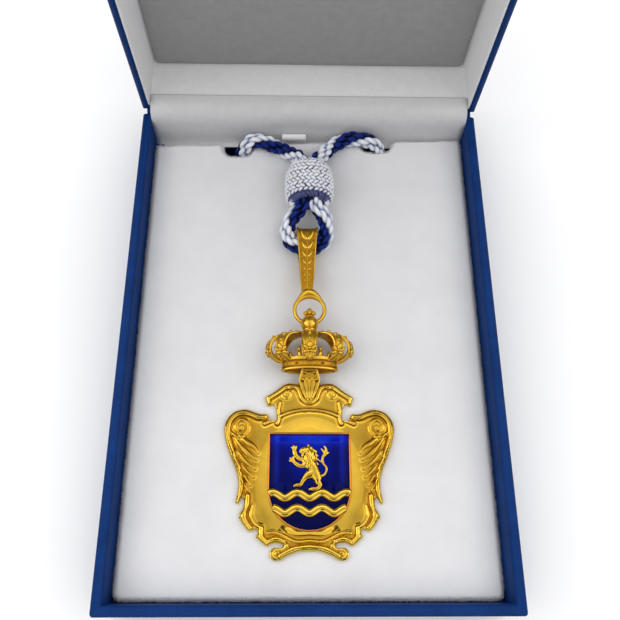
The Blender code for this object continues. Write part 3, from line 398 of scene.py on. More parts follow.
studio = {
    "floor": {"size": 4, "drop": 0.0002, "tone": "FBFBFB", "grain": 1.1},
    "left": {"place": (-0.60, 0.00, 0.40), "size": (0.30, 0.40), "watts": 0.75},
    "right": {"place": (0.60, 0.00, 0.40), "size": (0.30, 0.40), "watts": 0.5},
    "back": {"place": (0.00, 0.42, 0.72), "size": (0.50, 0.20), "watts": 0.3},
    # the tent over the case, brightest in a ring high up: sine of the height above the horizon, and tone
    "tent": [
        (0.0, "303030"), (0.2, "383838"), (0.42, "747474"), (0.66, "E8E8E8"), (0.85, "FFFFFF"),
        (0.95, "CCCCCC"), (1.0, "A8A8A8"),
    ],
    "tentStrength": 1.8,
    # the camera and its stand darken a round patch of the tent, which the polished plate mirrors
    "stand": {"towards": (0.0, -0.47, 0.88), "reach": (0.18, 0.3), "left": 0.06},
}
bpy.context.scene.view_settings.view_transform = "Standard"

for side in ("left", "right", "back"):
    bpy.ops.object.light_add(type="AREA", location=studio[side]["place"])
    lamp = named(side + "Light")
    lamp.data.shape = "RECTANGLE"
    lamp.data.size, lamp.data.size_y = studio[side]["size"]
    lamp.data.energy = studio[side]["watts"]
    aim = Vector((0, 0, 0.02)) - Vector(studio[side]["place"])
    lamp.rotation_euler = aim.to_track_quat("-Z", "Y").to_euler()

world = bpy.data.worlds.new("studio")
bpy.context.scene.world = world
world.use_nodes = True
sky = world.node_tree
where = addNode(sky, "TexCoord")
split = addNode(sky, "SeparateXYZ", links={0: where.outputs["Generated"]})
tent = addNode(sky, "ValToRGB", {"stops": studio["tent"]}, {0: split.outputs["Z"]})
stand = studio["stand"]
gone = addNode(
    sky, "VectorMath", {"operation": "DISTANCE", 1: stand["towards"]}, {0: where.outputs["Generated"]}
)
ends = {
    "From Min": stand["reach"][0], "From Max": stand["reach"][1], "To Min": stand["left"], "To Max": 1.0
}
shade = addNode(sky, "MapRange", ends, {"Value": gone.outputs["Value"]})
dimmed = addNode(sky, "VectorMath", {"operation": "SCALE"}, {0: tent.outputs[0], "Scale": shade.outputs[0]})
ray = addNode(sky, "LightPath")
seen = addNode(
    sky, "Mix", {"data_type": "RGBA", 7: linear("FFFFFF")}, {
        0: ray.outputs["Is Camera Ray"], 6: dimmed.outputs[0]
    }
)
plug(sky, sky.nodes["Background"], {"Color": seen.outputs[2]})
sky.nodes["Background"].inputs["Strength"].default_value = studio["tentStrength"]

bpy.ops.mesh.primitive_plane_add(size=studio["floor"]["size"], location=(0, 0, -studio["floor"]["drop"]))
floor = named("floor")
bpy.ops.object.mode_set(mode="EDIT")
bpy.ops.mesh.subdivide(number_cuts=3)
bpy.ops.object.mode_set(mode="OBJECT")
floor = settle(floor)
# matt drawing paper with a fine tooth
paper, tree, shader = newFinish(
    "pale_floor_paper", Base_Color=linear(studio["floor"]["tone"]), Roughness=0.9
)
tooth = addNode(tree, "TexNoise", {"Scale": 1000 / studio["floor"]["grain"], "Detail": 3})
lift = addNode(tree, "Bump", {"Strength": 0.05, "Distance": 0.2 * mm}, {"Height": tooth.outputs[0]})
plug(tree, shader, {"Normal": lift.outputs[0]})
finishWith(floor, paper)
floor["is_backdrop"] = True
print("camera, light and floor ready")

# finishes; every pattern's Scale is 1000 over the distance in millimetres between its features

# PVC leatherette on card, embossed with a fine pebble: dull soft gloss, navy a little uneven
leatherette, tree, shader = newFinish(
    "navy_pvc_leatherette", Base_Color=linear("06306C"), Roughness=0.6, Specular_IOR_Level=0.12
)
place = addNode(tree, "TexCoord").outputs["Object"]
mottle = addNode(tree, "TexNoise", {"Scale": 1000 / 9, "Detail": 6.0, "Roughness": 0.7}, {"Vector": place})
navies = [(0.3, "052A62"), (0.5, "06306C"), (0.7, "083676")]
tones = addNode(tree, "ValToRGB", {"stops": navies}, {0: mottle.outputs[0]})
pebble = addNode(tree, "TexVoronoi", {"Scale": 1000 / 0.8, "Randomness": 0.9}, {"Vector": place})
pores = addNode(tree, "TexNoise", {"Scale": 1000 / 0.3, "Detail": 3.0}, {"Vector": place})
embossed = addNode(tree, "Bump", {"Strength": 0.45, "Distance": 0.1 * mm}, {"Height": pebble.outputs[0]})
pitted = addNode(
    tree, "Bump", {"Strength": 0.3, "Distance": 0.05 * mm}, {
        "Height": pores.outputs[0], "Normal": embossed.outputs[0]
    }
)
plug(tree, shader, {"Base Color": tones.outputs[0], "Normal": pitted.outputs[0]})

# cotton velvet: short pile that scatters light and leans a little differently from place to place
sheen = {"Sheen_Weight": 0.2, "Sheen_Roughness": 0.5}
velvet, tree, shader = newFinish(
    "white_cotton_velvet", Base_Color=linear("DEDEE0"), Roughness=1.0, IOR=1.3, **sheen
)
place = addNode(tree, "TexCoord").outputs["Object"]
nap = addNode(tree, "TexNoise", {"Scale": 1000 / 12, "Detail": 5.0, "Roughness": 0.6}, {"Vector": place})
whites = [(0.3, "DADADC"), (0.55, "DEDEE0"), (0.8, "E2E2E4")]
tones = addNode(tree, "ValToRGB", {"stops": whites}, {0: nap.outputs[0]})
tufts = addNode(tree, "TexNoise", {"Scale": 1000 / 1.6, "Detail": 3.0, "Roughness": 0.6}, {"Vector": place})
pile = addNode(tree, "TexNoise", {"Scale": 1000 / 0.5, "Detail": 4.0, "Roughness": 0.7}, {"Vector": place})
tufted = addNode(tree, "Bump", {"Strength": 0.22, "Distance": 0.2 * mm}, {"Height": tufts.outputs[0]})
piled = addNode(
    tree, "Bump", {"Strength": 0.5, "Distance": 0.16 * mm}, {
        "Height": pile.outputs[0], "Normal": tufted.outputs[0]
    }
)
plug(tree, shader, {"Base Color": tones.outputs[0], "Normal": piled.outputs[0]})


def liningFinish(name, colours):
    # nonwoven lining cloth over card: smooth and matt, its fibres just visible, longer across the case
    finish, tree, shader = newFinish(name, Base_Color=linear(colours[1]), Roughness=0.95, Sheen_Weight=0.1)
    place = addNode(tree, "TexCoord").outputs["Object"]
    drawn = addNode(tree, "Mapping", {"Scale": (0.4, 1, 1)}, {"Vector": place})
    fine = {"Scale": 1000 / 0.45, "Detail": 4.0, "Roughness": 0.65}
    fibre = addNode(tree, "TexNoise", fine, {"Vector": drawn.outputs[0]})
    cloud = addNode(
        tree, "TexNoise", {"Scale": 1000 / 3, "Detail": 5.0, "Roughness": 0.7}, {"Vector": place}
    )
    tones = addNode(
        tree, "ValToRGB", {"stops": list(zip((0.3, 0.55, 0.8), colours))}, {0: cloud.outputs[0]}
    )
    ribbed = addNode(tree, "Bump", {"Strength": 0.5, "Distance": 0.1 * mm}, {"Height": fibre.outputs[0]})
    plug(tree, shader, {"Base Color": tones.outputs[0], "Normal": ribbed.outputs[0]})
    return finish


hingeLining = liningFinish("white_hinge_cloth", ("D0D0D1", "D5D5D6", "DADADB"))
wallLining = liningFinish("white_lid_wall_cloth", ("E6E6E7", "EAEAEB", "EEEEEF"))
# the lid's panel is the same white cloth, painted grey as the shade it stands in, facing forward away from
# the light
shadedPanelLining = liningFinish("white_lid_cloth_painted_shade", ("9A9A9B", "A0A0A1", "A5A5A6"))

# woven satin ribbon: soft gloss, with weft ribs across it every 0.5 mm
ribbonFinish, tree, shader = newFinish(
    "white_woven_satin", Base_Color=linear("E6E6E8"), Roughness=0.42, Sheen_Weight=0.2, Anisotropic=0.5
)
place = addNode(tree, "TexCoord").outputs["Object"]
weft = {"bands_direction": "Z", "Scale": 1000 / 0.5 / 20 * math.tau, "Distortion": 0.4}
ribs = addNode(tree, "TexWave", weft, {"Vector": place})
ribbed = addNode(tree, "Bump", {"Strength": 0.35, "Distance": 0.06 * mm}, {"Height": ribs.outputs[1]})
plug(tree, shader, {"Normal": ribbed.outputs[0]})


def giltFinish(name, colours, roughness, grain, grainDepth):
    # gold plated on cast brass: proud parts are buffed pale and bright, hollows stay redder and duller from
    # the gilding and are painted darker still as the shade that falls in them
    finish, tree, shader = newFinish(name, Base_Color=linear(colours[1]), Roughness=roughness, Metallic=1.0)
    place = addNode(tree, "TexCoord").outputs["Object"]
    hollow = addNode(tree, "Attribute", {"attribute_name": "hollow"})
    stain = addNode(
        tree, "TexNoise", {"Scale": 1000 / 3.5, "Detail": 4.0, "Roughness": 0.6}, {"Vector": place}
    )
    spread = addNode(tree, "Math", {"operation": "MULTIPLY_ADD", 1: 0.16, 2: -0.08}, {0: stain.outputs[0]})
    # the hollow attribute picks the darker, redder stops: partly the gilding's own colour in hollows, partly
    # painted shade
    depth = addNode(tree, "Math", {"operation": "ADD"}, {0: hollow.outputs["Fac"], 1: spread.outputs[0]})
    stops = list(zip((0.2, 0.5, 0.7, 0.92), colours))
    tones = addNode(tree, "ValToRGB", {"stops": stops}, {0: depth.outputs[0]})
    ends = {"From Min": 0.35, "From Max": 0.85, "To Min": roughness * 0.8, "To Max": roughness * 1.7}
    rough = addNode(tree, "MapRange", ends, {"Value": depth.outputs[0]})
    skin = addNode(
        tree, "TexNoise", {"Scale": 1000 / grain, "Detail": 4.0, "Roughness": 0.6}, {"Vector": place}
    )
    cast = addNode(
        tree, "Bump", {"Strength": 0.3, "Distance": grainDepth * mm}, {"Height": skin.outputs[0]}
    )
    plug(
        tree, shader,
        {"Base Color": tones.outputs[0], "Roughness": rough.outputs[0], "Normal": cast.outputs[0]}
    )
    return finish


polishedGilt = giltFinish("polished_gilt_brass", ("ECCC56", "CEA63A", "B27E1C", "603C08"), 0.13, 1.4, 0.02)
matteGilt = giltFinish("matt_gilt_brass", ("E8BC48", "D0A232", "AA761A", "5C3A08"), 0.34, 0.5, 0.03)
copperGilt = giltFinish("copper_gilt_brass", ("E0A452", "C07A30", "8E5018", "52280C"), 0.24, 0.8, 0.02)

# vitreous enamel: deep cobalt glass fired on metal and polished, painted lighter in a painted sheen, high in
# the middle and along the top and the sides, where its domed face mirrors the light
enamel, tree, shader = newFinish(
    "cobalt_vitreous_enamel", Base_Color=linear("061A92"), Roughness=0.14, IOR=1.52, Specular_IOR_Level=0.06
)
place = addNode(tree, "TexCoord").outputs["Object"]
thin = addNode(tree, "Attribute", {"attribute_name": "thin"})
melt = addNode(tree, "TexNoise", {"Scale": 1000 / 5, "Detail": 3.0}, {"Vector": place})
tone = addNode(
    tree, "Math", {"operation": "MULTIPLY_ADD", 1: 0.2}, {0: melt.outputs[0], 2: thin.outputs["Fac"]}
)
blues = [(0.05, "010430"), (0.3, "020A58"), (0.6, "0518A0"), (0.95, "1C44E0")]
tones = addNode(tree, "ValToRGB", {"stops": blues}, {0: tone.outputs[0]})
flow = addNode(tree, "TexNoise", {"Scale": 1000 / 2.5, "Detail": 2.0}, {"Vector": place})
waved = addNode(tree, "Bump", {"Strength": 0.08, "Distance": 0.02 * mm}, {"Height": flow.outputs[0]})
plug(tree, shader, {"Base Color": tones.outputs[0], "Normal": waved.outputs[0]})


def threadFinish(name, colours, gloss, sheen):
    # rayon yarn: parallel filaments round each ply, 0.2 mm apart, coarser than real so that they show; they
    # are bumped, and the same wave lightens the colour a little along each, a painted sheen
    finish, tree, shader = newFinish(
        name, Base_Color=linear(colours[1]), Roughness=0.33, Specular_IOR_Level=gloss, Sheen_Weight=sheen
    )
    uv = addNode(tree, "UVMap", {"uv_map": "UVMap"})
    parts = addNode(tree, "SeparateXYZ", links={0: uv.outputs[0]})
    along = addNode(tree, "Math", {"operation": "MULTIPLY", 1: 0.2}, {0: parts.outputs[0]})
    slant = addNode(tree, "Math", {"operation": "ADD"}, {0: along.outputs[0], 1: parts.outputs[1]})
    scaled = addNode(tree, "Math", {"operation": "MULTIPLY", 1: 22.0 * math.tau}, {0: slant.outputs[0]})
    wave = addNode(tree, "Math", {"operation": "SINE"}, {0: scaled.outputs[0]})
    # the attribute "proud" is 0 in the creases and 1 on the yarns' backs: the colour is painted darker in the
    # creases, as painted shade where little light comes
    proud = addNode(tree, "Attribute", {"attribute_name": "proud"})
    lit = addNode(
        tree, "Math", {"operation": "MULTIPLY_ADD", 1: 0.05}, {0: wave.outputs[0], 2: proud.outputs["Fac"]}
    )
    stops = list(zip((0.12, 0.5, 0.92), colours))
    tones = addNode(tree, "ValToRGB", {"stops": stops}, {0: lit.outputs[0]})
    twisted = addNode(tree, "Bump", {"Strength": 0.45, "Distance": 0.05 * mm}, {"Height": wave.outputs[0]})
    plug(tree, shader, {"Base Color": tones.outputs[0], "Normal": twisted.outputs[0]})
    return finish


# each thread's first colour is the painted shade in its creases
blueThread = threadFinish("navy_rayon_thread", ("01020C", "020A3A", "06267C"), 0.14, 0.0)
whiteThread = threadFinish("silver_white_rayon_thread", ("525A88", "C6CDE2", "F6F8FF"), 0.5, 0.1)
knotThread = threadFinish("silver_white_woven_thread", ("4A5084", "E6E9F4", "FFFFFF"), 0.6, 0.1)
# the knot's core: its dark blue-violet is painted shade, seen in the gaps between the stitches
knotShade = threadFinish("knot_core_painted_shade", ("10143E", "1E2456", "3A4080"), 0.1, 0.0)
print("finishes ready")

# the case


def nodeCopy(node, name):
    pickOnly(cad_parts[node])
    bpy.ops.object.duplicate()
    piece = named(name)
    piece.parent = None
    for key in list(piece.keys()):
        del piece[key]
    bpy.ops.object.mode_set(mode="EDIT")
    bpy.ops.mesh.select_all(action="SELECT")
    bpy.ops.mesh.remove_doubles(threshold=0.000004)
    bpy.ops.mesh.dissolve_limited(angle_limit=math.radians(0.5))
    bpy.ops.object.mode_set(mode="OBJECT")
    return piece


def bevelEdges(piece, wanted, width, segments=3):
    # picks the edges by the place of their two ends, then bevels them
    pickOnly(piece)
    for part in (piece.data.vertices, piece.data.edges, piece.data.polygons):
        part.foreach_set("select", [False] * len(part))
    for edge in piece.data.edges:
        a, b = [piece.data.vertices[i].co / mm for i in edge.vertices]
        edge.select = wanted(a, b)
    bpy.ops.object.mode_set(mode="EDIT")
    bpy.ops.mesh.select_mode(type="EDGE")
    bpy.ops.mesh.bevel(offset=width * mm, segments=segments, affect="EDGES")
    bpy.ops.object.mode_set(mode="OBJECT")
    return piece


case = {"halfWidth": 65.0, "halfLength": 90.0, "height": 25.0, "wall": 3.4}
lid = {"mouth": 90.3, "innerX": 62.8, "innerTop": 202.8}


def bothAt(a, b, axis, level):
    # whether both ends of an edge lie at this level of an axis, on either side of the middle
    return abs(abs(a[axis]) - level) < 0.05 and abs(abs(b[axis]) - level) < 0.05


def onTrayMouth(a, b):
    sideEdge = bothAt(a, b, 0, case["halfWidth"] - case["wall"])
    endEdge = bothAt(a, b, 1, case["halfLength"] - case["wall"])
    return bothAt(a, b, 2, case["height"]) and (sideEdge or endEdge)


def onLidMouth(a, b):
    innerEdge = bothAt(a, b, 0, lid["innerX"]) or bothAt(a, b, 2, lid["innerTop"])
    return bothAt(a, b, 1, lid["mouth"]) and innerEdge


def mitreCorners(piece):
    # the covering is cut and turned in at each corner: a fine groove runs across the rim there
    groove = {"width": 0.16, "depth": 0.14, "length": 4.8}
    rimLow = (case["height"] - 1) * mm
    form = bmesh.new()
    form.from_mesh(piece.data)
    for sx, sy in ((-1, -1), (1, -1), (-1, 1), (1, 1)):
        corner = Vector((sx * case["halfWidth"], sy * case["halfLength"], case["height"])) * mm
        across = Vector((sx, -sy, 0)).normalized()
        for shift in (-groove["width"], 0, groove["width"]):
            near = [f for f in form.faces if f.normal.z > 0.7 and f.calc_center_median().z > rimLow]
            geom = set(near) | {e for f in near for e in f.edges} | {v for f in near for v in f.verts}
            spot = corner + across * shift * mm
            bmesh.ops.bisect_plane(form, geom=list(geom), dist=1e-7, plane_co=spot, plane_no=across)
        for vert in form.verts:
            away = vert.co - corner
            if abs(away @ across) < 1e-6 and away.length < groove["length"] * mm and vert.co.z > rimLow:
                vert.co.z -= groove["depth"] * mm
    form.to_mesh(piece.data)
    form.free()
    return piece


tray = mitreCorners(bevelEdges(nodeCopy("case_base", "leatheretteTray"), onTrayMouth, 0.9))
lidShell = bevelEdges(nodeCopy("lid_shell", "leatheretteLid"), onLidMouth, 0.6)
for piece, node, body in ((tray, "case_base", "case"), (lidShell, "lid_shell", "lid")):
    standFor(node, soften(piece, 50), leatherette, body)
finishWith(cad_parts["hinge_rod"], leatherette)
print("case ready")

# velvet pad

pad = {
    "top": 16.0,
    "bottom": 12.0,
    "roll": 1.7,
    "corner": 2.6,
    "halfWidth": 61.2,
    "front": -86.2,
    "rear": (81.2, 85.2),
    # notches in the rear edge for the cord: middle, width, depth
    "notches": [(26.8, 12.2, 5.2), (-28.3, 11.4, 5.9)],
}


def padRear(x):
    return np.interp(x, [-pad["halfWidth"], pad["halfWidth"]], pad["rear"])


def quarterTurn(x, y, radius, start, steps):
    turns = [math.radians(start + 90 * i / steps) for i in range(steps + 1)]
    return [(x + radius * math.cos(turn), y + radius * math.sin(turn)) for turn in turns]


def padOutline():
    half, low, corner = pad["halfWidth"], pad["front"] + pad["corner"], pad["corner"]
    run = quarterTurn(-half + corner, low, corner, 180, 6) + quarterTurn(half - corner, low, corner, 270, 6)
    run += [
        (half, padRear(half) - 1.2), (half - 0.4, padRear(half) - 0.3), (half - 1.4, padRear(half - 1.4))
    ]
    for middle, width, depth in pad["notches"]:
        run.append((middle + 0.66 * width, padRear(middle + 0.66 * width)))
        for i in range(13):
            turn = math.pi * i / 12
            across = math.copysign(abs(math.cos(turn)) ** 0.6, math.cos(turn)) * width / 2
            run.append((middle + across, padRear(middle) - 0.5 - (depth - 0.4) * math.sin(turn) ** 0.6))
        run.append((middle - 0.66 * width, padRear(middle - 0.66 * width)))
    run += [
        (-half + 1.4, padRear(-half + 1.4)), (-half + 0.4, padRear(-half) - 0.3),
        (-half, padRear(-half) - 1.2),
    ]
    return np.array(run)


def rolledEdge(away, roll):
    # how far a padded face has turned down, so far from its edge
    near = np.clip(roll - away, 0, roll)
    return roll - np.sqrt(np.maximum(roll**2 - near**2, 0))


def padHeight(points, away):
    wander = 0.04 * np.sin(points[:, 0] / 13.3 + 1.1) * np.cos(points[:, 1] / 15.1)
    return pad["top"] - rolledEdge(away, pad["roll"]) + wander + chance.normal(0, 0.012, len(points))


velvetPad = reliefPlate("velvetPad", padOutline(), padHeight, pad["bottom"], 1.0)

# the pile stands out as a short fringe where the velvet turns down at the pad's edge
pile = {"count": 9000, "reach": 1.5, "length": (0.35, 0.85), "root": 0.07, "unruly": 0.35, "upward": 0.55}
edge = evenLine(padOutline(), 0.05, closed=True)
tangent = np.roll(edge, -1, axis=0) - np.roll(edge, 1, axis=0)
tangent /= np.linalg.norm(tangent, axis=1)[:, None]
pick = chance.integers(0, len(edge), pile["count"])
inward = chance.uniform(0, 1, pile["count"]) ** 1.4 * pile["reach"]
outward = np.column_stack([tangent[pick][:, 1], -tangent[pick][:, 0], np.zeros(pile["count"])])
rootHeight = pad["top"] - rolledEdge(inward, pad["roll"])
root = np.column_stack([edge[pick] - outward[:, :2] * inward[:, None], rootHeight])
lean = outward * (1 - 0.6 * inward / pile["reach"])[:, None]
lean += chance.normal(0, pile["unruly"], (pile["count"], 3))
lean[:, 2] += pile["upward"]
lean /= np.linalg.norm(lean, axis=1)[:, None]
tip = root + lean * chance.uniform(*pile["length"], (pile["count"], 1))
flat = np.cross(lean, outward + (0.01, 0.02, 0.3))
flat /= np.linalg.norm(flat, axis=1)[:, None]
other = np.cross(lean, flat)
thirds = (0, 2.094, 4.189)
foot = [root - lean * 0.1 + pile["root"] * (flat * math.cos(a) + other * math.sin(a)) for a in thirds]
hairs = np.stack([*foot, tip], 1).reshape(-1, 3)
starts = np.arange(pile["count"]) * 4
sidesOf = [(0, 1, 3), (1, 2, 3), (2, 0, 3), (2, 1, 0)]
hairFaces = np.concatenate([np.stack([starts + k for k in corners], 1) for corners in sidesOf]).tolist()
velvetPile = meshFrom("velvetPile", hairs, hairFaces)
for piece in (velvetPad, velvetPile):
    standFor("case_pad", piece, velvet)
print("pad ready")

# linings and ribbon

hinge = {
    "halfWidth": 61.5,
    "thick": 0.4,
    # from the pad's rear edge up the wall, over the joint and into the lid: (y, z)
    "line": [
        (83.3, 11.3), (84.3, 11.5), (85.0, 12.3), (85.4, 14.0), (85.6, 16.5), (85.8, 20.0), (86.1, 23.2),
        (86.9, 25.7), (88.3, 27.5), (90.0, 28.45), (91.8, 28.85), (93.5, 28.85), (95.0, 28.85),
    ],
}


def clothStrip(name, line, halfWidth, thick, rows, ripple=0.0, middle=0.0):
    # a strip of cloth across the case, drawn from the side as (y, z), then thickened
    profile = evenLine(smoothLine(line, 8), 0.6)
    xs = np.linspace(-halfWidth, halfWidth, rows)
    points, faces = [], []
    for i, (y, z) in enumerate(profile):
        for x in xs:
            sway = ripple * math.sin(x / 11.0) * math.sin(math.pi * i / len(profile))
            points.append((middle + x, y - sway, z))
    for i in range(len(profile) - 1):
        for j in range(rows - 1):
            a = i * rows + j
            faces.append((a, a + 1, a + rows + 1, a + rows))
    piece = meshFrom(name, points, faces)
    wall = piece.modifiers.new("thickness", "SOLIDIFY")
    wall.thickness = thick * mm
    wall.offset = 0
    settle(piece)
    length = np.linalg.norm(np.diff(profile, axis=0), axis=1).sum()
    return piece, length


hingeCloth, hingeLength = clothStrip(
    "hingeCloth", hinge["line"], hinge["halfWidth"], hinge["thick"], 60, 0.06
)
finishWith(hingeCloth, hingeLining)
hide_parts("rear_lining")
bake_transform(hingeCloth)

lidCloth = {"halfWidth": 62.6, "low": 27.4, "high": 202.6, "mouth": 90.85, "ceiling": 111.45, "thick": 1.0}
low, high = lidCloth["low"], lidCloth["high"]
middle = (0, (lidCloth["mouth"] + lidCloth["ceiling"]) / 2 * mm, (low + high) / 2 * mm)
bpy.ops.mesh.primitive_cube_add(size=1, location=middle)
lidWalls = named("lidWallCloth")
lidWalls.scale = (
    2 * lidCloth["halfWidth"] * mm, (lidCloth["ceiling"] - lidCloth["mouth"]) * mm, (high - low) * mm
)
lidWalls = settle(lidWalls)
bpy.ops.object.mode_set(mode="EDIT")
bpy.ops.mesh.select_all(action="DESELECT")
bpy.ops.object.mode_set(mode="OBJECT")
for face in lidWalls.data.polygons:
    face.select = face.normal.y < -0.9
bpy.ops.object.mode_set(mode="EDIT")
bpy.ops.mesh.delete(type="FACE")
bpy.ops.object.mode_set(mode="OBJECT")
wall = lidWalls.modifiers.new("card", "SOLIDIFY")
wall.thickness = lidCloth["thick"] * mm
wall.offset = -1
edgeRound = lidWalls.modifiers.new("turned_edge", "BEVEL")
edgeRound.width = 0.3 * mm
edgeRound.segments = 3
lidWalls = settle(lidWalls)
standFor("lid_lining", soften(lidWalls, 50), wallLining, "lid")

panel = {
    "halfWidth": 61.2, "low": 28.8, "high": 201.3, "corner": 1.6, "back": 110.4, "swell": 1.1, "roll": 2.0
}


def panelOutline():
    corner = panel["corner"]
    x, low, high = panel["halfWidth"] - corner, panel["low"] + corner, panel["high"] - corner
    corners = ((-x, low, 180), (x, low, 270), (x, high, 0), (-x, high, 90))
    return np.array([spot for a, b, start in corners for spot in quarterTurn(a, b, corner, start, 5)])


def panelHeight(points, away):
    swelling = 1 - np.exp(-away / 16.0)
    wander = 0.05 * np.sin(points[:, 0] / 13.0) * np.sin(points[:, 1] / 17.0)
    return 0.55 + panel["swell"] * swelling - 0.25 * rolledEdge(away, panel["roll"]) + wander


lidPanel = reliefPlate("lidPanel", panelOutline(), panelHeight, 0.0, 2.0)
lidPanel.data.transform(Matrix(((1, 0, 0, 0), (0, 0, -1, panel["back"] * mm), (0, 1, 0, 0), (0, 0, 0, 1))))
standFor("lid_lining", lidPanel, shadedPanelLining, "lid")

ribbonLine = [
    (84.55, 12.3), (84.6, 15.5), (84.6, 18.0), (84.35, 19.0), (83.6, 19.35), (82.85, 19.1), (82.6, 18.4),
    (82.7, 17.6),
]
ribbon = clothStrip("pullRibbon", ribbonLine, 4.7, 0.35, 14, 0.0, -6.0)[0]
standFor("pull_tab", ribbon, ribbonFinish)
print("linings ready")

# cord

cordSize = {
    "diameter": 5.3,
    "clearance": 0.3,
    "strandRing": 1.6,
    "plyRing": 0.58,
    "plyRadius": 0.9,
    "plyPitch": 5.2,
    "crease": 1.7,
}
rope = cordSize["diameter"] / 2
trayFloor = 2.4
jewelBack = 16.3
throughBail = jewelBack + 3.95
knotSize = {"width": 18.6, "depth": 13.0, "length": 18.2, "foot": 50.2}
knotMiddle = jewelBack + knotSize["depth"] / 2
floorLevel = trayFloor + cordSize["clearance"] + rope
padLevel = pad["top"] + cordSize["clearance"] + rope
# how high the cord's middle lies at each kind of place
levels = {
    "knot": knotMiddle,
    "rising": 0.45 * knotMiddle + 0.55 * padLevel,
    "pad": padLevel,
    "dip": pad["top"] + 0.6 * rope,
    "notch": pad["bottom"] + 0.6 * rope,
    "drop": pad["bottom"] - 1.1 * rope,
    "sink": floorLevel + 0.4 * rope,
    "floor": floorLevel,
    "loose": (knotMiddle + throughBail) / 2 + 0.3,
    "loop": throughBail - 0.3,
    "bail": throughBail,
}
# the worn loop: out of the knot and through the left notch
leftEnd = [
    ("knot", -2.9, 60.0), ("knot", -2.9, 65.0), ("knot", -3.0, 69.3), ("rising", -5.8, 73.4),
    ("pad", -10.5, 76.8), ("pad", -16.0, 79.8), ("pad", -20.8, 81.2), ("dip", -24.0, 80.8),
    ("notch", -26.4, 79.7), ("drop", -28.3, 78.7), ("sink", -32.4, 76.7),
]
# two flat turns on the tray's floor, under the pad
underPad = [
    (-42.0, 71.0), (-48.5, 62.0), (-50.0, 48.0), (-50.0, 0.0), (-50.0, -56.0), (-45.5, -69.0), (-32.0, -73.0),
    (0.0, -73.0), (32.0, -73.0), (45.5, -69.0), (50.0, -56.0), (50.0, 0.0), (50.0, 62.0), (47.0, 76.0),
    (36.0, 83.0), (18.0, 83.4), (1.0, 81.5), (-16.0, 73.0), (-33.0, 63.0), (-42.5, 51.0), (-43.8, 36.0),
    (-43.8, 0.0), (-43.8, -52.0), (-40.0, -63.5), (-29.0, -66.8), (0.0, -66.8), (29.0, -66.8), (40.0, -63.5),
    (43.8, -52.0), (43.8, 0.0), (43.8, 56.0), (40.5, 68.0),
]
# and back through the right notch into the knot
rightEnd = [
    ("sink", 33.0, 75.2), ("drop", 29.3, 79.2), ("notch", 27.8, 80.7), ("dip", 25.2, 81.7),
    ("pad", 20.8, 82.2), ("pad", 15.2, 82.1), ("pad", 9.8, 79.3), ("rising", 5.8, 74.2),
    ("knot", 3.0, 69.3), ("knot", 2.9, 65.0), ("knot", 2.9, 60.0),
]
neckRoute = leftEnd + [("floor", x, y) for x, y in underPad] + rightEnd
# the short loop under the knot, through the bail
loopRoute = [
    ("knot", -2.9, 59.7), ("knot", -2.9, 54.0), ("knot", -3.0, 48.9), ("loose", -6.3, 45.3),
    ("loop", -8.0, 41.5), ("loop", -7.3, 36.8), ("bail", -4.6, 34.1), ("bail", -0.8, 33.2),
    ("bail", 3.0, 34.1), ("loop", 5.7, 36.8), ("loop", 6.3, 41.5), ("loose", 5.5, 45.6),
    ("knot", 3.0, 48.9), ("knot", 2.9, 54.0), ("knot", 2.9, 59.7),
]


def ropeMesh(name, route, pitch, phase, lastPhase=None):
    # four strands of two plies each: two blue strands side by side, and two silver-white ones
    path = evenLine(smoothLine([(x, y, levels[level]) for level, x, y in route], 40), 0.45)
    # under the pad every second point is enough
    keep = (path[:, 2] >= pad["bottom"] - 4) | (np.arange(len(path)) % 2 == 0)
    keep[-1] = True
    path = path[keep]
    along = alongOf(path)
    ahead = aheadOf(path)
    side = np.cross(ahead, [0.0, 0.0, 1.0])
    side /= np.linalg.norm(side, axis=1)[:, None]
    up = np.cross(ahead, side)
    laid = -along / pitch * math.tau
    if lastPhase is not None:
        # a little more or less twist along the whole cord, so that its last end lies as in the photo
        missing = (math.radians(lastPhase - phase) - laid[-1] + math.pi) % math.tau - math.pi
        laid = laid + missing * along / along[-1]
    lines, radii, picks = [], [], []
    for strand in range(4):
        turn = math.radians(phase + 90 * strand) + laid
        outward = side * np.cos(turn)[:, None] + up * np.sin(turn)[:, None]
        across = -side * np.sin(turn)[:, None] + up * np.cos(turn)[:, None]
        centre = path + outward * cordSize["strandRing"]
        for ply in range(2):
            twist = math.pi * ply + along / cordSize["plyPitch"] * math.tau + 0.9 * strand
            offset = outward * np.cos(twist)[:, None] + across * np.sin(twist)[:, None]
            lines.append(centre + offset * cordSize["plyRing"])
            radii.append(cordSize["plyRadius"])
            picks.append(0 if strand < 2 else 1)
    around = 10
    piece = tubes(name, lines, radii, around, picks)
    # the plies' inner sides, near the rope's middle, get a low proud value and are painted darker: painted
    # shade in the creases
    reach = np.linalg.norm(pointsOf(piece).reshape(len(lines), -1, around, 3) - path[None, :, None], axis=3)
    markPoints(piece, "proud", (reach - cordSize["crease"]) / (rope + 0.25 - cordSize["crease"]))
    piece.data.materials.append(blueThread)
    piece.data.materials.append(whiteThread)
    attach(piece, "case")
    length = along[-1] * mm
    return piece, length


neckCord, neckLength = ropeMesh("neckCord", neckRoute, 26.5, 148, -172)
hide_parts("neck_cord")
loopCord, loopLength = ropeMesh("loopCord", loopRoute, 29.0, -11)
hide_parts("loop_cord")
print("cords ready", round(neckLength, 3), round(loopLength, 3))

# cartouche

cartoucheSize = {"topY": -17.0, "plate": 1.15, "ridgeBase": 1.2, "gap": 0.22}
# the polished field's swelling: half width, half length, middle down from the top, foot and rise
dome = {"across": 18.0, "along": 21.0, "middle": 32.8, "foot": 1.0, "rise": 1.5}
cove = {"line": [(9.5, 47.6, 1), (4.8, 50.0, 1), (0, 49.9, 1)], "depth": 0.55, "reach": 1.15}
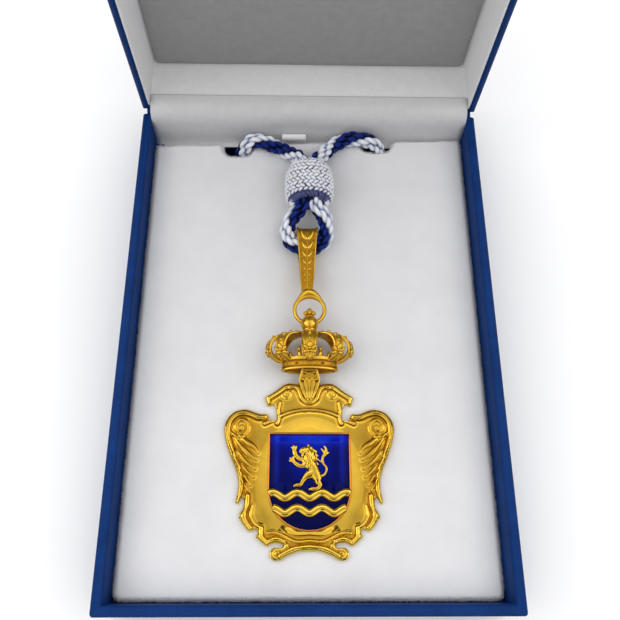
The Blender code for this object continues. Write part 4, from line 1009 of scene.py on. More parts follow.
# the left half's edge: millimetres from the middle line, and down from the top
halfEdge = [
    # top scroll
    (3.5, 0.4), (5, 0.2), (7, 0.05), (8.5, 0.4), (9.8, 1.2), (11, 2.2), (13, 3.6), (14.6, 4.6), (15.2, 5.3),
    # its lip and the waist
    (14.8, 6.5), (14.4, 7.8), (13.6, 8.2), (13.0, 7.6), (12.2, 7.5), (11.6, 8.6), (11.2, 10.6),
    (11.1, 12.4),
    # shoulder
    (11.6, 13.0), (12.5, 13.1), (13.3, 13.0), (13.6, 12), (14.1, 10.9), (14.8, 10.6), (16.3, 10.7),
    (18.3, 10.1),
    # volute
    (19.8, 9.5), (21.6, 9.1), (23.1, 9.2), (25.1, 9.8), (26.6, 10.9), (27.8, 12.4), (28.5, 14),
    (28.75, 15.6),
    # leaves
    (28.5, 18), (27.9, 20.5), (27, 23), (26, 25.6), (24.9, 28), (23.9, 30.6), (23.4, 33), (23.3, 35),
    (23.5, 36.8),
    # their tip
    (23.9, 38.9), (24.0, 39.8), (23.5, 40.3), (22.9, 39.8), (22.3, 38.6), (21.9, 38.1), (21.4, 38.6),
    (21.2, 40),
    # lower corner
    (21.6, 41.5), (22.4, 42.9), (22.9, 44), (21.8, 46), (20.8, 47.3), (19.8, 48.4), (19.2, 48.8),
    (18.2, 48.3),
    # foot
    (17.2, 48), (16.6, 48.5), (16.6, 49.3), (17.2, 50.2), (16.3, 51.2), (15, 52.3), (14, 53.1),
    (13.3, 53.2),
    # curl
    (12.5, 52.6), (11.3, 52.2), (10, 52.2), (9, 52.4), (8.4, 53.1), (8.7, 53.5), (9.5, 53.7), (10.8, 53.5),
    # the curl from below
    (11.8, 53.8), (12.4, 54.7), (12.6, 55.7), (12.2, 56.7), (11.3, 57.3), (10, 57.5), (8.8, 57.1),
    (7.5, 56.3),
    # middle of the foot
    (6, 55.7), (4.5, 55.2), (2.7, 54.7),
]

# raised bead lines of one half: from the middle line, down, radius
beads = {
    "rise": [
        (7.4, 1.5, 1.05), (5.2, 1.2, 0.95), (3.9, 2.2, 0.85), (3.1, 3.8, 0.8), (2.5, 5.6, 0.75),
        (1.2, 6.7, 0.7), (0, 6.9, 0.7),
    ],
    "lip": [(8.0, 1.4, 1.0), (10.2, 2.9, 1.05), (12.6, 4.5, 1.05), (14.0, 5.7, 0.95), (14.0, 6.8, 0.8)],
    "waist": [(10.0, 7.0, 0.6), (10.4, 9.5, 0.65), (10.2, 12.0, 0.7), (10.8, 14.0, 0.8)],
    "step": [(15.0, 14.2, 0.65), (12.0, 12.8, 0.6), (8.5, 11.0, 0.55), (4.5, 9.8, 0.5), (0, 9.4, 0.5)],
    "volute": [
        (14.9, 11.9, 0.85), (17.0, 12.0, 1.05), (19.6, 10.9, 1.1), (22.6, 10.3, 1.15), (25.2, 11.3, 1.15),
        (27.0, 13.6, 1.15), (27.5, 16.4, 1.1), (26.9, 20.0, 1.05), (25.9, 23.4, 1.0), (24.4, 26.8, 0.95),
        (22.9, 30.6, 0.9), (22.3, 34.5, 0.85), (22.6, 37.8, 0.7), (23.3, 39.4, 0.4),
    ],
    "corner": [
        (20.0, 37.6, 0.7), (20.2, 40.4, 0.85), (21.2, 43.4, 0.95), (20.3, 46.0, 0.95), (19.0, 47.5, 0.85)
    ],
    "foot": [
        (15.4, 47.6, 0.75), (15.4, 50.2, 0.95), (13.4, 51.9, 0.9), (10.8, 51.0, 0.85), (8.2, 51.6, 0.85)
    ],
    "curl": [(7.2, 53.0, 0.8), (8.0, 53.6, 0.6), (8.8, 54.1, 0.3)],
    "under": [(9.2, 56.0, 0.75), (7.4, 55.1, 0.85), (4.6, 53.9, 0.85), (0, 53.3, 0.85)],
    "innerCorner": [(18.4, 40.6, 0.35), (18.9, 43.6, 0.5), (17.6, 46.2, 0.5), (15.6, 47.4, 0.45)],
    "innerFoot": [
        (13.4, 49.2, 0.4), (11.0, 49.0, 0.45), (8.0, 50.0, 0.5), (4.4, 51.6, 0.5), (0, 51.4, 0.5)
    ],
}
leafVeins = {
    "first": [(23.2, 18.6, 0.7), (20.9, 20.4, 0.75), (18.4, 21.9, 0.6), (16.9, 23.9, 0.3)],
    "second": [(25.4, 17.8, 0.6), (23.2, 21.4, 0.75), (20.4, 24.1, 0.7), (17.5, 26.1, 0.3)],
    "third": [(26.3, 19.4, 0.6), (24.0, 23.9, 0.75), (21.2, 26.9, 0.65), (17.9, 29.1, 0.3)],
    "fourth": [(25.7, 22.0, 0.55), (23.6, 26.6, 0.7), (20.9, 29.7, 0.6), (18.3, 31.8, 0.3)],
    "fifth": [(24.9, 25.2, 0.5), (23.0, 29.1, 0.6), (20.9, 32.0, 0.55), (19.2, 34.3, 0.28)],
    "sixth": [(24.0, 28.4, 0.4), (22.5, 31.9, 0.5), (21.3, 34.1, 0.45), (20.3, 35.9, 0.25)],
}
# spirals: middle across and down, first and last reach, turns, bead radius
scrolls = {
    "large": (23.0, 15.2, 4.5, 0.8, 1.6, 0.6),
    "small": (7.6, 3.9, 2.1, 0.5, 1.4, 0.36),
    "end": (10.3, 55.5, 1.55, 0.35, 1.3, 0.4),
}
# soft swellings: across, down, reach, rise
swellings = [
    (23.0, 15.2, 5.2, 0.7), (22.5, 24.0, 4.2, 0.45), (7.8, 3.8, 3.2, 0.4), (17.2, 44.5, 3.2, 0.3),
    (8.0, 52.5, 2.6, 0.25),
]


def scrollLine(across, down, first, last, turns, radius):
    share = np.linspace(0, 1, int(22 * turns))
    turn = math.pi / 2 - share * turns * math.tau
    reach = first + (last - first) * share
    widths = radius * (1 + 0.3 * share)
    return np.column_stack([across + reach * np.cos(turn), down - reach * np.sin(turn), widths])


def ridgeAt(points, line):
    # how far each point is from a ridge, how far along it, and how wide the ridge is there
    gone, share = nearLine(points, line)
    return gone, share, np.interp(share, np.linspace(0, 1, len(line)), line[:, 2])


def cartoucheRise(points, away):
    mirrored = np.column_stack([np.abs(points[:, 0]), cartoucheSize["topY"] - points[:, 1]])
    x, down = mirrored[:, 0], mirrored[:, 1]
    rise = np.full(len(points), cartoucheSize["plate"])
    for across, at, reach, lift in swellings:
        rise += lift * np.exp(-((x - across) ** 2 + (down - at) ** 2) / reach**2)
    high = np.clip(1 - (x / dome["across"]) ** 2 - ((down - dome["middle"]) / dome["along"]) ** 2, 0, 1)
    rise = smoothMax(rise, dome["foot"] + dome["rise"] * high**0.85, 0.4)
    # each line with how much wider than its table, how high and how softly it stands
    lines = [(scrollLine(*rows), 1.0, 0.9, 0.15) for rows in scrolls.values()]
    lines += [(smoothLine(rows, 6), 1.22, 0.8, 0.4) for rows in beads.values()]
    for line, wider, high, blend in lines:
        gone, share, radius = ridgeAt(mirrored, line)
        radius = radius * wider
        bead = cartoucheSize["ridgeBase"] + np.sqrt(np.maximum(radius**2 - gone**2, 0)) * high
        rise = np.where(gone < radius, smoothMax(rise, bead, blend), rise)
        rise -= 0.1 * np.exp(-(((gone - 1.15 * radius) / 0.4) ** 2))
    # a narrow cove between the field and the foot, which mirrors the dark below the light tent
    gone, share = nearLine(mirrored, smoothLine(cove["line"], 6))
    rise -= cove["depth"] * np.exp(-((gone / cove["reach"]) ** 2)) * np.clip(share * 4, 0, 1)
    for rows in leafVeins.values():
        gone, share, radius = ridgeAt(mirrored, smoothLine(rows, 6))
        radius = radius * 1.5
        crest = np.clip(1 - gone / radius, 0, 1) ** 0.8
        rise += 0.6 * crest * np.sin(math.pi * np.clip(0.1 + 0.85 * share, 0, 1))
        rise -= 0.1 * np.exp(-(((gone - 1.1 * radius) / 0.35) ** 2)) * (share > 0.02)
    roundOff = 0.35 + 1.6 * np.sqrt(np.clip(away, 0, 1) * (2 - np.clip(away, 0, 1)))
    return jewelBack + np.minimum(rise, roundOff + np.clip(away - 1, 0, None) * 4)


left = [(-x, cartoucheSize["topY"] - down) for x, down in halfEdge]
edge = np.array(left + [(-x, y) for x, y in reversed(left)])
edge = smoothLine(np.vstack([edge, edge[:1]]), 4)[:-1]
cartouche = reliefPlate("cartouchePlate", edge, cartoucheRise, jewelBack, cartoucheSize["gap"])

# the fluted neck under the crown: its plan as (x, y), its face and back as (y, z), pearls as (x, y, radius)
neck = {
    "plan": [
        (2.6, -12.8), (2.75, -13.9), (3.1, -15.2), (3.7, -17.1), (3.4, -18.4), (2.6, -20.4), (1.6, -22.4),
        (0.5, -23.6),
    ],
    "face": [
        (-23.7, 17.9), (-22.5, 18.5), (-20.6, 19.6), (-19.0, 20.7), (-17.0, 22.0), (-14.8, 23.2),
        (-12.8, 24.0),
    ],
    "back": [(-23.7, 16.6), (-18.2, 16.6), (-16.0, 19.6), (-14.8, 20.9), (-12.8, 21.5)],
    "pearls": [(1.7, -15.0, 0.42), (2.35, -17.2, 0.46)],
    "flutes": 13,
}


def neckRise(points, away):
    x, y = points[:, 0], points[:, 1]
    rows = np.array(neck["face"])
    z = np.interp(y, rows[:, 0], rows[:, 1])
    fan = np.arctan2(x, y + 25.5)
    reach = np.hypot(x, y + 25.5)
    fluted = np.cos(fan * neck["flutes"] * 2.2) * np.clip((reach - 2) / 3, 0, 1)
    fluted = fluted * np.clip((-16.6 - y) / 1.2, 0, 1)
    z = z + 0.09 * fluted + 0.22 * np.exp(-((away / 0.35) ** 2)) - 0.2 * np.exp(-((away / 0.12) ** 2))
    for across, at, radius in neck["pearls"]:
        gone = np.hypot(np.abs(x) - across, y - at)
        z = z + np.sqrt(np.maximum(radius**2 - gone**2, 0)) * 0.9
    return z + 0.25 * np.clip(1 - np.abs(y + 13.9) / 0.35, 0, 1)


def neckBack(x, y):
    return float(np.interp(y, *np.array(neck["back"]).T))


plan = np.array(neck["plan"] + [(-x, y) for x, y in reversed(neck["plan"])])
neckPiece = reliefPlate("neckFan", plan, neckRise, 0, 0.2, neckBack)
cartouche = joined("giltCartouche", [cartouche, neckPiece])
markHollows(cartouche, 8, 0.45)


def past(values, limit, width):
    # 0 before the limit and 1 past it, with a soft step
    return 1 / (1 + np.exp(-(values - limit) / width))


# the volutes, leaves and neck are left matt and redder from the casting, and the middle is polished
spots = pointsOf(cartouche)
matt = past(np.abs(spots[:, 0]), 17.5, 0.8) * past(spots[:, 1], -57.0, 1.2)
matt = np.maximum(matt, past(spots[:, 1], -18.5, 0.5))
markPoints(cartouche, "hollow", marksOf(cartouche, "hollow") + 0.12 * matt)
standFor("cartouche", cartouche, polishedGilt)
print("cartouche ready", len(cartouche.data.polygons))

# shield

# its bars: how far down, thickness, the wave's height and length; its low face's height over the pad's frame
shield = {
    "half": 13.7, "top": -34.4, "foot": -65.9, "low": 17.75, "wave": 0.85, "period": 7.9,
    "bars": (20.2, 25.0), "bar": 2.75
}


def shieldOutline(inset, steps=36):
    # flat top, straight sides and a round foot
    half, top, foot = shield["half"] - inset, shield["top"] - inset, shield["foot"] + inset
    turnY = shield["foot"] + shield["half"] * 0.97
    run = [(half, top)] + [(half * (1 - 2 * i / 8), top) for i in range(1, 8)] + [(-half, top)]
    run += [(-half, top + (turnY - top) * i / 6) for i in range(1, 6)]
    for i in range(steps + 1):
        turn = math.pi * i / steps
        run.append((-half * math.cos(turn), turnY - (turnY - foot) * math.sin(turn)))
    run += [(half, turnY + (top - turnY) * i / 6) for i in range(1, 6)]
    return np.array(run)


def loft(name, rings, closedEnds=False):
    # rings of as many points each, joined in turn: the last to the first, or each end closed
    count = len(rings[0])
    faces = []
    last = len(rings) - 1 if closedEnds else len(rings)
    for i in range(last):
        a, b = i * count, (i + 1) % len(rings) * count
        for j in range(count):
            n = (j + 1) % count
            faces.append((a + j, a + n, b + n, b + j))
    if closedEnds:
        faces += [tuple(range(count))[::-1], tuple(range((len(rings) - 1) * count, len(rings) * count))]
    return faceOut(meshFrom(name, np.vstack(rings), faces))


# the raised rim's section: inward from the shield's edge, and up
rimSection = [
    (0, 0), (0, 1.3), (0.08, 1.52), (0.25, 1.68), (0.45, 1.7), (0.64, 1.58), (0.75, 1.3), (0.75, 0)
]
rings = []
for inset, up in rimSection:
    flat = shieldOutline(inset)
    rings.append(np.column_stack([flat, np.full(len(flat), shield["low"] + up)]))
shieldRim = soften(loft("shieldRim", rings), 50)


def backHeight(points, away):
    return np.full(len(points), shield["low"] + 0.6)


shieldBack = reliefPlate("shieldBack", shieldOutline(0.6), backHeight, shield["low"], 3.0)
shieldRim = joined("copperShieldRim", [shieldRim, shieldBack])
markHollows(shieldRim, 2, 0.3)


def waveAt(x):
    return shield["wave"] * np.cos(math.tau * (x - shield["period"] / 2) / shield["period"])


def barHalf(down):
    # half the width between the rims at this distance from the top
    outline = shieldOutline(0.62, 90)
    level = outline[np.abs(outline[:, 1] - (shield["top"] - down)) < 0.8]
    return np.abs(level[:, 0]).max() + 0.1


bars = []
for down in shield["bars"]:
    reach = barHalf(down) + (0.3 if down > 22 else 0)
    xs = np.linspace(-reach, reach, 90)
    line = np.column_stack([xs, shield["top"] - down + waveAt(xs), np.full(90, 19.05)])
    bars.append(tubes("bar", [line], [shield["bar"] / 2], 18))
wavyBars = joined("wavyBars", bars)
barBase = Matrix.Translation((0, 0, 0.019))
wavyBars.data.transform(barBase @ Matrix.Diagonal((1, 1, 0.62, 1)) @ barBase.inverted())
markHollows(wavyBars, 2, 0.3)
standFor("shield", shieldRim, copperGilt)
standFor("shield", wavyBars, polishedGilt)

# enamel cushions in the three cells: node, upper and lower wave line, swell, how strong the painted sheen is
cells = {
    "enamelField": ("enamel_field", None, 19.05, 0.72, 0.42),
    "enamelBand": ("enamel_band", 21.35, 23.85, 0.22, 0.05),
    "enamelBase": ("enamel_base", 26.15, None, 0.3, 0.05),
}


def cushion(swell):
    return lambda points, away: 19.22 + swell * (1 - np.exp(-((away / 2.1) ** 2)))


for name, (node, upper, lower, swell, clear) in cells.items():
    outline = evenLine(shieldOutline(0.85, 90), 0.25, closed=True)
    cuts = [(down, side) for down, side in ((upper, -1), (lower, 1)) if down is not None]
    for down, side in cuts:
        limit = shield["top"] - down + waveAt(outline[:, 0]) + 0.1 * side
        outline[:, 1] = side * np.maximum(side * outline[:, 1], side * limit)
    for down, side in cuts:
        limit = shield["top"] - down + waveAt(outline[:, 0]) + 0.11 * side
        onCut = side * outline[:, 1] <= side * limit
        outline = outline[~onCut | (np.abs(outline[:, 0]) <= barHalf(down))]
    piece = soften(reliefPlate(name, outline, cushion(swell), 18.5, 0.5), 60)
    # the glass is painted lighter high in the middle and in bands along the top and the sides: a painted
    # sheen where the cushion mirrors the light
    spots = pointsOf(piece)
    light = np.exp(-((spots[:, 0] / 11) ** 2) - ((spots[:, 1] + 42) / 11) ** 2)
    light += 0.8 * np.exp(-(((spots[:, 1] + 36.6) / 2.4) ** 2))
    light += 0.5 * np.exp(-(((np.abs(spots[:, 0]) - 10.7) / 0.9) ** 2))
    markPoints(piece, "thin", clear * light)
    standFor(node, piece, enamel)
print("shield ready")

# lion

lion = {"height": 15.0, "foot": -53.2, "back": 20.15, "flat": 0.533, "grain": 0.13}
# its limbs in hundredths of its height: across, up, radius
limbs = {
    "trunk": [(-3, 66, 13), (3, 56, 12), (9, 45, 11), (13, 34, 12)],
    "chest": [(-8, 68, 8), (-8, 58, 8), (-3, 50, 6)],
    "mane": [(-1, 64, 14), (0, 74, 14), (0, 82, 11), (2, 88, 6)],
    "head": [(-4, 84, 9), (-12, 84, 7), (-18, 82, 5)],
    "nose": [(-10, 88, 5), (-19, 85, 3.5)],
    "jaw": [(-8, 77, 5), (-16, 74, 2.5)],
    "ear": [(-1, 90, 4), (-3, 96, 2)],
    "tuftA": [(8, 84, 5), (15, 82, 2)],
    "tuftB": [(10, 77, 5), (18, 73, 2)],
    "tuftC": [(11, 69, 5), (19, 64, 2)],
    "tuftD": [(-9, 66, 5), (-15, 59, 2)],
    "tuftE": [(-3, 58, 5), (-10, 50, 2)],
    "tuftF": [(10, 60, 5), (18, 55, 2)],
    "raisedPaw": [(-6, 67, 7), (-20, 66, 5), (-30, 74, 5), (-33, 84, 5)],
    "raisedToeA": [(-33, 86, 3.5), (-39, 91, 2.2)],
    "raisedToeB": [(-33, 87, 3.5), (-35, 94, 2.2)],
    "raisedToeC": [(-32, 86, 3.5), (-29, 93, 2.2)],
    "lowerPaw": [(-4, 55, 7), (-18, 51, 5), (-28, 55, 5), (-36, 62, 4)],
    "lowerToeA": [(-36, 62, 3.5), (-43, 62, 2.2)],
    "lowerToeB": [(-36, 63, 3.5), (-42, 68, 2.2)],
    "lowerToeC": [(-35, 63, 3.5), (-36, 70, 2.2)],
    "frontThigh": [(9, 36, 11), (-3, 32, 9), (-10, 26, 6)],
    "frontLeg": [(-8, 28, 6), (-15, 19, 4.5), (-19, 12, 4), (-28, 11, 3.5)],
    "frontToes": [(-27, 12, 3), (-33, 9, 2.5)],
    "rearThigh": [(13, 33, 12), (17, 24, 10), (18, 18, 7)],
    "rearLeg": [(18, 19, 6), (23, 11, 4.5), (17, 4, 4), (6, 3, 4)],
    "rearToes": [(7, 4, 3), (0, 2, 2.5)],
    "tail": [
        (22, 29, 3.5), (33, 34, 2.6), (37, 47, 2.4), (29, 58, 2.4), (29, 70, 3), (35, 78, 4.5), (36, 88, 3),
        (32, 94, 1.5),
    ],
    "tailTuftA": [(32, 74, 3.5), (42, 80, 1.5)],
    "tailTuftB": [(33, 80, 3.5), (26, 88, 1.5)],
    "tailKnot": [(29, 60, 3), (22, 62, 1.5)],
}
unit = lion["height"] / 100
lines, radii, rounds = [], [], []
for limb in limbs.values():
    rows = [(x * unit, lion["foot"] + up * unit, lion["back"], r * unit) for x, up, r in limb]
    run = smoothLine(rows, 4)
    lines.append(run[:, :3])
    radii.append(run[:, 3])
    for x, y, z, r in (rows[0], rows[-1]):
        bpy.ops.mesh.primitive_ico_sphere_add(
            subdivisions=2, radius=r * mm, location=(x * mm, y * mm, z * mm)
        )
        rounds.append(settle(bpy.context.object))
lionBody = tubes("lionBody", lines, radii, 14)
lionBody = joined("giltLion", [lionBody] + rounds)
fuse = lionBody.modifiers.new("fuse", "REMESH")
fuse.mode = "VOXEL"
fuse.voxel_size = lion["grain"] * mm
settle(lionBody)
smoothing = lionBody.modifiers.new("polish", "SMOOTH")
smoothing.iterations = 2
settle(lionBody)
# its coat is waved above the waist, and the whole is pressed to a low relief
spots = pointsOf(lionBody)
above = spots[:, 2] - lion["back"]
fur = 0.05 * np.sin(spots[:, 0] * 7.0 + 2.0 * np.sin(spots[:, 1] * 2.3))
fur *= np.clip((spots[:, 1] + 47.5) / 3, 0, 1) * np.clip(above - 0.3, 0, 1)
spots[:, 2] = np.maximum(lion["back"], lion["back"] + above * lion["flat"] + fur)
lionBody.data.vertices.foreach_set("co", (spots * mm).ravel())
lionBody.data.update()
lionBody.data.shade_smooth()
while lionBody.data.uv_layers:
    lionBody.data.uv_layers.remove(lionBody.data.uv_layers[0])
markHollows(lionBody, 3, 0.16)
standFor("charge", lionBody, polishedGilt)
print("lion ready", len(lionBody.data.polygons))

# crown

crown = {
    "middle": 22.806,
    "flat": 0.42,
    "bandHalf": 9.6,
    "bandLow": -14.4,
    "bandHigh": -10.5,
    "half": 14.3,
    "rise": 13.8,
    "orb": (2.6, 3.05),
}


def onBand(u, y, outward=0.0):
    # a point round the band's ellipse, u in turns from the front
    a, b = crown["bandHalf"] + outward, crown["bandHalf"] * crown["flat"] + outward
    return np.array([a * math.sin(u * math.tau), y, crown["middle"] + b * math.cos(u * math.tau)])


def bandLoft(name, section, steps=96):
    # section: (outward, y) pairs, or a function of u that gives them
    columns = []
    for u in np.arange(steps) / steps:
        rows = section(u) if callable(section) else section
        columns.append([onBand(u, y, outward) for outward, y in rows])
    return loft(name, [np.array(ring) for ring in zip(*columns)])


low, high = crown["bandLow"], crown["bandHigh"]
bandSection = [
    (-0.15, low), (0.12, low + 0.05), (0.2, low + 0.3), (0.12, low + 0.62), (-0.16, low + 0.75),
    (-0.22, low + 1.9), (-0.16, high - 0.8), (0.1, high - 0.68), (0.2, high - 0.38), (0.12, high - 0.06),
    (-0.2, high), (-0.9, high - 0.1), (-1.0, high - 1.0), (-1.0, low + 1.0), (-0.9, low + 0.08),
]
crownPieces = [soften(bandLoft("band", bandSection), 50)]
plateSection = [(-0.8, low + 1.75), (-0.8, low + 2.55), (-3.6, low + 2.55), (-3.6, low + 1.75)]
crownPieces.append(bandLoft("bandFloor", plateSection, 48))
floorAt = [v * mm for v in (0, low + 2.15, crown["middle"])]
upright = (math.pi / 2, 0, 0)
bpy.ops.mesh.primitive_cylinder_add(
    vertices=40, radius=6.6 * mm, depth=0.7 * mm, location=floorAt, rotation=upright
)
floorPlate = bpy.context.object
floorPlate.scale = (1, 0.2, 1)
crownPieces.append(settle(floorPlate))


def crestRows(u):
    # scalloped upper edge between sixteen peaks
    lift = 0.35 + 1.9 * abs(math.cos(math.pi * u * 16)) ** 4
    return [
        (0.0, high - 0.15), (0.08, high + lift * 0.6), (-0.1, high + lift), (-0.5, high + lift),
        (-0.72, high - 0.15),
    ]


crownPieces.append(soften(bandLoft("crest", crestRows, 256), 50))


def ballAt(place, radii, around, rings):
    spot = [v * mm for v in place]
    bpy.ops.mesh.primitive_uv_sphere_add(segments=around, ring_count=rings, radius=mm, location=spot)
    piece = bpy.context.object
    piece.scale = radii
    piece = settle(piece)
    piece.data.shade_smooth()
    return piece


def copyAt(piece, matrix):
    copied = piece.copy()
    copied.data = piece.data.copy()
    copied.data.transform(matrix)
    bpy.context.scene.collection.objects.link(copied)
    return copied


def facing(u, y, outward):
    # turns a form that faces +Z at the origin so that it stands on the band and faces outward
    heading = math.atan2(crown["flat"] * math.cos(u * math.tau), math.sin(u * math.tau))
    spot = onBand(u, y, outward) * mm
    return Matrix.Translation(spot) @ Matrix.Rotation(math.pi / 2 - heading, 4, "Y")


# lozenges and pearls along the band
bpy.ops.mesh.primitive_cone_add(vertices=4, radius1=0.7 * mm, radius2=0.2 * mm, depth=0.4 * mm)
lozenge = bpy.context.object
lozenge.scale = (1.7, 0.85, 1)
lozenge = settle(lozenge)
seed = ballAt((0, 0, 0), (0.32, 0.32, 0.26), 8, 6)
for i in range(24):
    u = i / 24
    pattern = lozenge if i % 2 == 0 else seed
    crownPieces.append(copyAt(pattern, facing(u, (low + high) / 2, -0.2)))
    if i % 2:
        for side in (-1, 1):
            spot = facing(u + side * 0.011, (low + high) / 2 + 0.45 * side, -0.22)
            crownPieces.append(copyAt(seed, spot @ Matrix.Scale(0.6, 4)))

# leaf: five lobes round a boss, standing at each arch's foot
lobes = [ballAt((0, 0.9, 0.3), (0.75, 1.25, 0.5), 10, 8), ballAt((0, -0.1, 0.55), (0.6, 0.6, 0.55), 10, 8)]
lobe = ballAt((0, 0, 0), (0.55, 1.15, 0.42), 10, 8)
for side in (-1, 1):
    for x, y, z, turn in ((1.15, 0.15, 0.2, 0.75), (1.0, -0.95, 0.1, 1.75)):
        spot = Matrix.Translation(Vector((side * x, y, z)) * mm)
        lobes.append(copyAt(lobe, spot @ Matrix.Rotation(-side * turn, 4, "Z")))
bpy.data.objects.remove(lobe)
leaf = joined("leaf", lobes)

# points with pearls between the leaves
lying = (-math.pi / 2, 0, 0)
bpy.ops.mesh.primitive_cone_add(
    vertices=10, radius1=0.95 * mm, radius2=0.36 * mm, depth=2.4 * mm, rotation=lying
)
point = settle(bpy.context.object)
point.data.shade_smooth()
pearl = ballAt((0, 0, 0), (0.74, 0.74, 0.74), 14, 10)
for i in range(8):
    u = (i + 0.5) / 8
    crownPieces.append(copyAt(point, facing(u, high + 1.6, -0.4)))
    crownPieces.append(copyAt(pearl, facing(u, high + 3.0, -0.4)))

# arches: a strap with raised edges that widens at its shoulder, and a row of pearls down its middle
archLine = [
    (0.05, 0.6), (0.18, 0.635), (0.35, 0.655), (0.55, 0.65), (0.77, 0.595), (0.91, 0.47), (0.96, 0.32),
    (0.92, 0.16), (0.8, 0.03), (0.66, -0.05),
]
archRun = smoothLine(archLine, 5)
# width along the strap, as a share of the widest
archWidth = [0.6, 0.72, 0.86, 0.98, 1.06, 1.06, 0.95, 0.76, 0.54, 0.44]
leafAt, firstPearl = 34, 7
# the strap's section: across, as a share of its half width, and up
section = [
    (-1, 0.0), (-1, 0.5), (-0.86, 0.78), (-0.68, 0.62), (-0.4, 0.66), (0, 0.86), (0.4, 0.66), (0.68, 0.62),
    (0.86, 0.78), (1, 0.5), (1, 0.0), (0.7, -0.35), (0, -0.5), (-0.7, -0.35),
]
archPearls = []
for i in range(8):
    sine, cosine = math.sin(i / 8 * math.tau), math.cos(i / 8 * math.tau)
    heading = np.array([sine, 0, crown["flat"] * cosine])
    reach = np.linalg.norm(heading) * crown["half"]
    heading /= np.linalg.norm(heading)
    # each strap lies along the crown's oval; the two at its sides turn a little to the front
    atSide = i % 4 == 2
    across = np.array([0.5, 0, -0.87 * sine]) if atSide else np.array([cosine, 0, -crown["flat"] * sine])
    across /= np.linalg.norm(across)
    half = 1.8 if atSide else 2.55 if i % 4 == 0 else 2.0
    rings = []
    rows = [
        heading * r * reach + np.array([0, high + up * crown["rise"], crown["middle"]])
        for r, up in archRun
    ]
    line = np.array(rows)
    ahead = aheadOf(line)
    outward = np.cross(ahead, across)
    if outward[len(line) // 2] @ heading < 0:
        outward = -outward
    widths = np.interp(np.linspace(0, 1, len(line)), np.linspace(0, 1, len(archWidth)), archWidth) * half
    for k in range(len(line)):
        rings.append(np.array([line[k] + across * w * widths[k] + outward[k] * n * 0.95 for w, n in section]))
    crownPieces.append(soften(loft("arch", rings, True), 55))
    foot = line[leafAt] + outward[leafAt] * 0.75
    turn = Matrix(np.column_stack([across, -ahead[leafAt], outward[leafAt]]).tolist()).to_4x4()
    size = Matrix.Scale(0.9 if atSide else 1.15, 4)
    crownPieces.append(copyAt(leaf, Matrix.Translation(foot * mm) @ turn @ size))
    for k in range(firstPearl, len(line) - 14, 5):
        size = 0.85 * widths[k] / half
        archPearls.append((line[k] + outward[k] * 0.82, size))
        for side in (-1, 1):
            archPearls.append((line[k] + across * side * widths[k] * 0.86 + outward[k] * 0.72, size * 0.32))
small = ballAt((0, 0, 0), (1, 1, 1), 8, 6)
for spot, size in archPearls:
    crownPieces.append(copyAt(small, Matrix.Translation(spot * mm) @ Matrix.Scale(size * 0.72, 4)))
for pattern in (lozenge, seed, leaf, point, pearl, small):
    bpy.data.objects.remove(pattern)


def turned(name, profile, around=28):
    # a turned form on the crown's middle line: (radius, y) pairs
    turns = np.arange(around) / around * math.tau
    rings = []
    for radius, y in profile:
        depths = crown["middle"] + radius * np.cos(turns)
        rings.append(np.column_stack([radius * np.sin(turns), np.full(around, y), depths]))
    return soften(loft(name, rings, True), 50)


orbY, orbR = crown["orb"]
orbTurns = np.linspace(0.04, 0.96, 22) * math.pi
profiles = {
    "hub": [(0.3, -2.9), (2.2, -2.7), (2.8, -2.1), (2.9, -1.0), (2.6, 0.0), (0.3, 0.1)],
    "collar": [(0.4, -0.6), (2.1, -0.5), (2.6, -0.2), (2.65, 0.15), (2.3, 0.5), (0.4, 0.6)],
    "orb": [(orbR * math.sin(t), orbY - orbR * math.cos(t)) for t in orbTurns],
    "stem": [
        (0.3, 4.7), (1.5, 4.9), (1.75, 5.25), (1.5, 5.6), (0.85, 5.75), (0.7, 6.2), (1.0, 6.5), (0.9, 6.8),
        (0.3, 6.9),
    ],
}
for name, profile in profiles.items():
    crownPieces.append(turned(name, profile))
# the finial: four small balls in a cross
for place, radii in (
    ((0, 7.5, crown["middle"]), (1.0, 1.0, 0.9)),
    ((-1.25, 6.6, crown["middle"]), (1.0, 0.75, 0.8)),
    ((1.25, 6.6, crown["middle"]), (1.0, 0.75, 0.8)),
    ((0, 6.6, crown["middle"] + 0.95), (0.85, 0.75, 0.75)),
):
    crownPieces.append(ballAt(place, radii, 14, 10))
crownPiece = joined("giltCrown", crownPieces)
markHollows(crownPiece, 2, 0.25)
standFor("crown", crownPiece, matteGilt)
print("crown ready", len(crownPiece.data.polygons))

# ring and bail

ring = {"middle": (0, 7.93, 22.806), "major": 5.25, "wire": 0.7}
bail = {"x": -0.8, "foot": 15.28, "top": 41.28, "footHalf": 2.1, "topHalf": 3.95}
bpy.ops.mesh.primitive_torus_add(
    major_segments=72,
    minor_segments=16,
    major_radius=ring["major"] * mm,
    minor_radius=ring["wire"] * mm,
    location=[v * mm for v in ring["middle"]],
)
ringPiece = settle(bpy.context.object)
for vert in ringPiece.data.vertices:
    # the wire thickens towards the solder at its top
    away = Vector((vert.co.x, vert.co.y - ring["middle"][1] * mm, 0))
    lift = max(0.0, away.normalized().y - 0.55) / 0.45
    wireMiddle = Vector(ring["middle"]) * mm + away.normalized() * ring["major"] * mm
    vert.co = wireMiddle + (vert.co - wireMiddle) * (1 + 0.45 * lift)
ringPiece.data.shade_smooth()

foldY, foldZ, foldR = 37.33, 20.25, 3.5
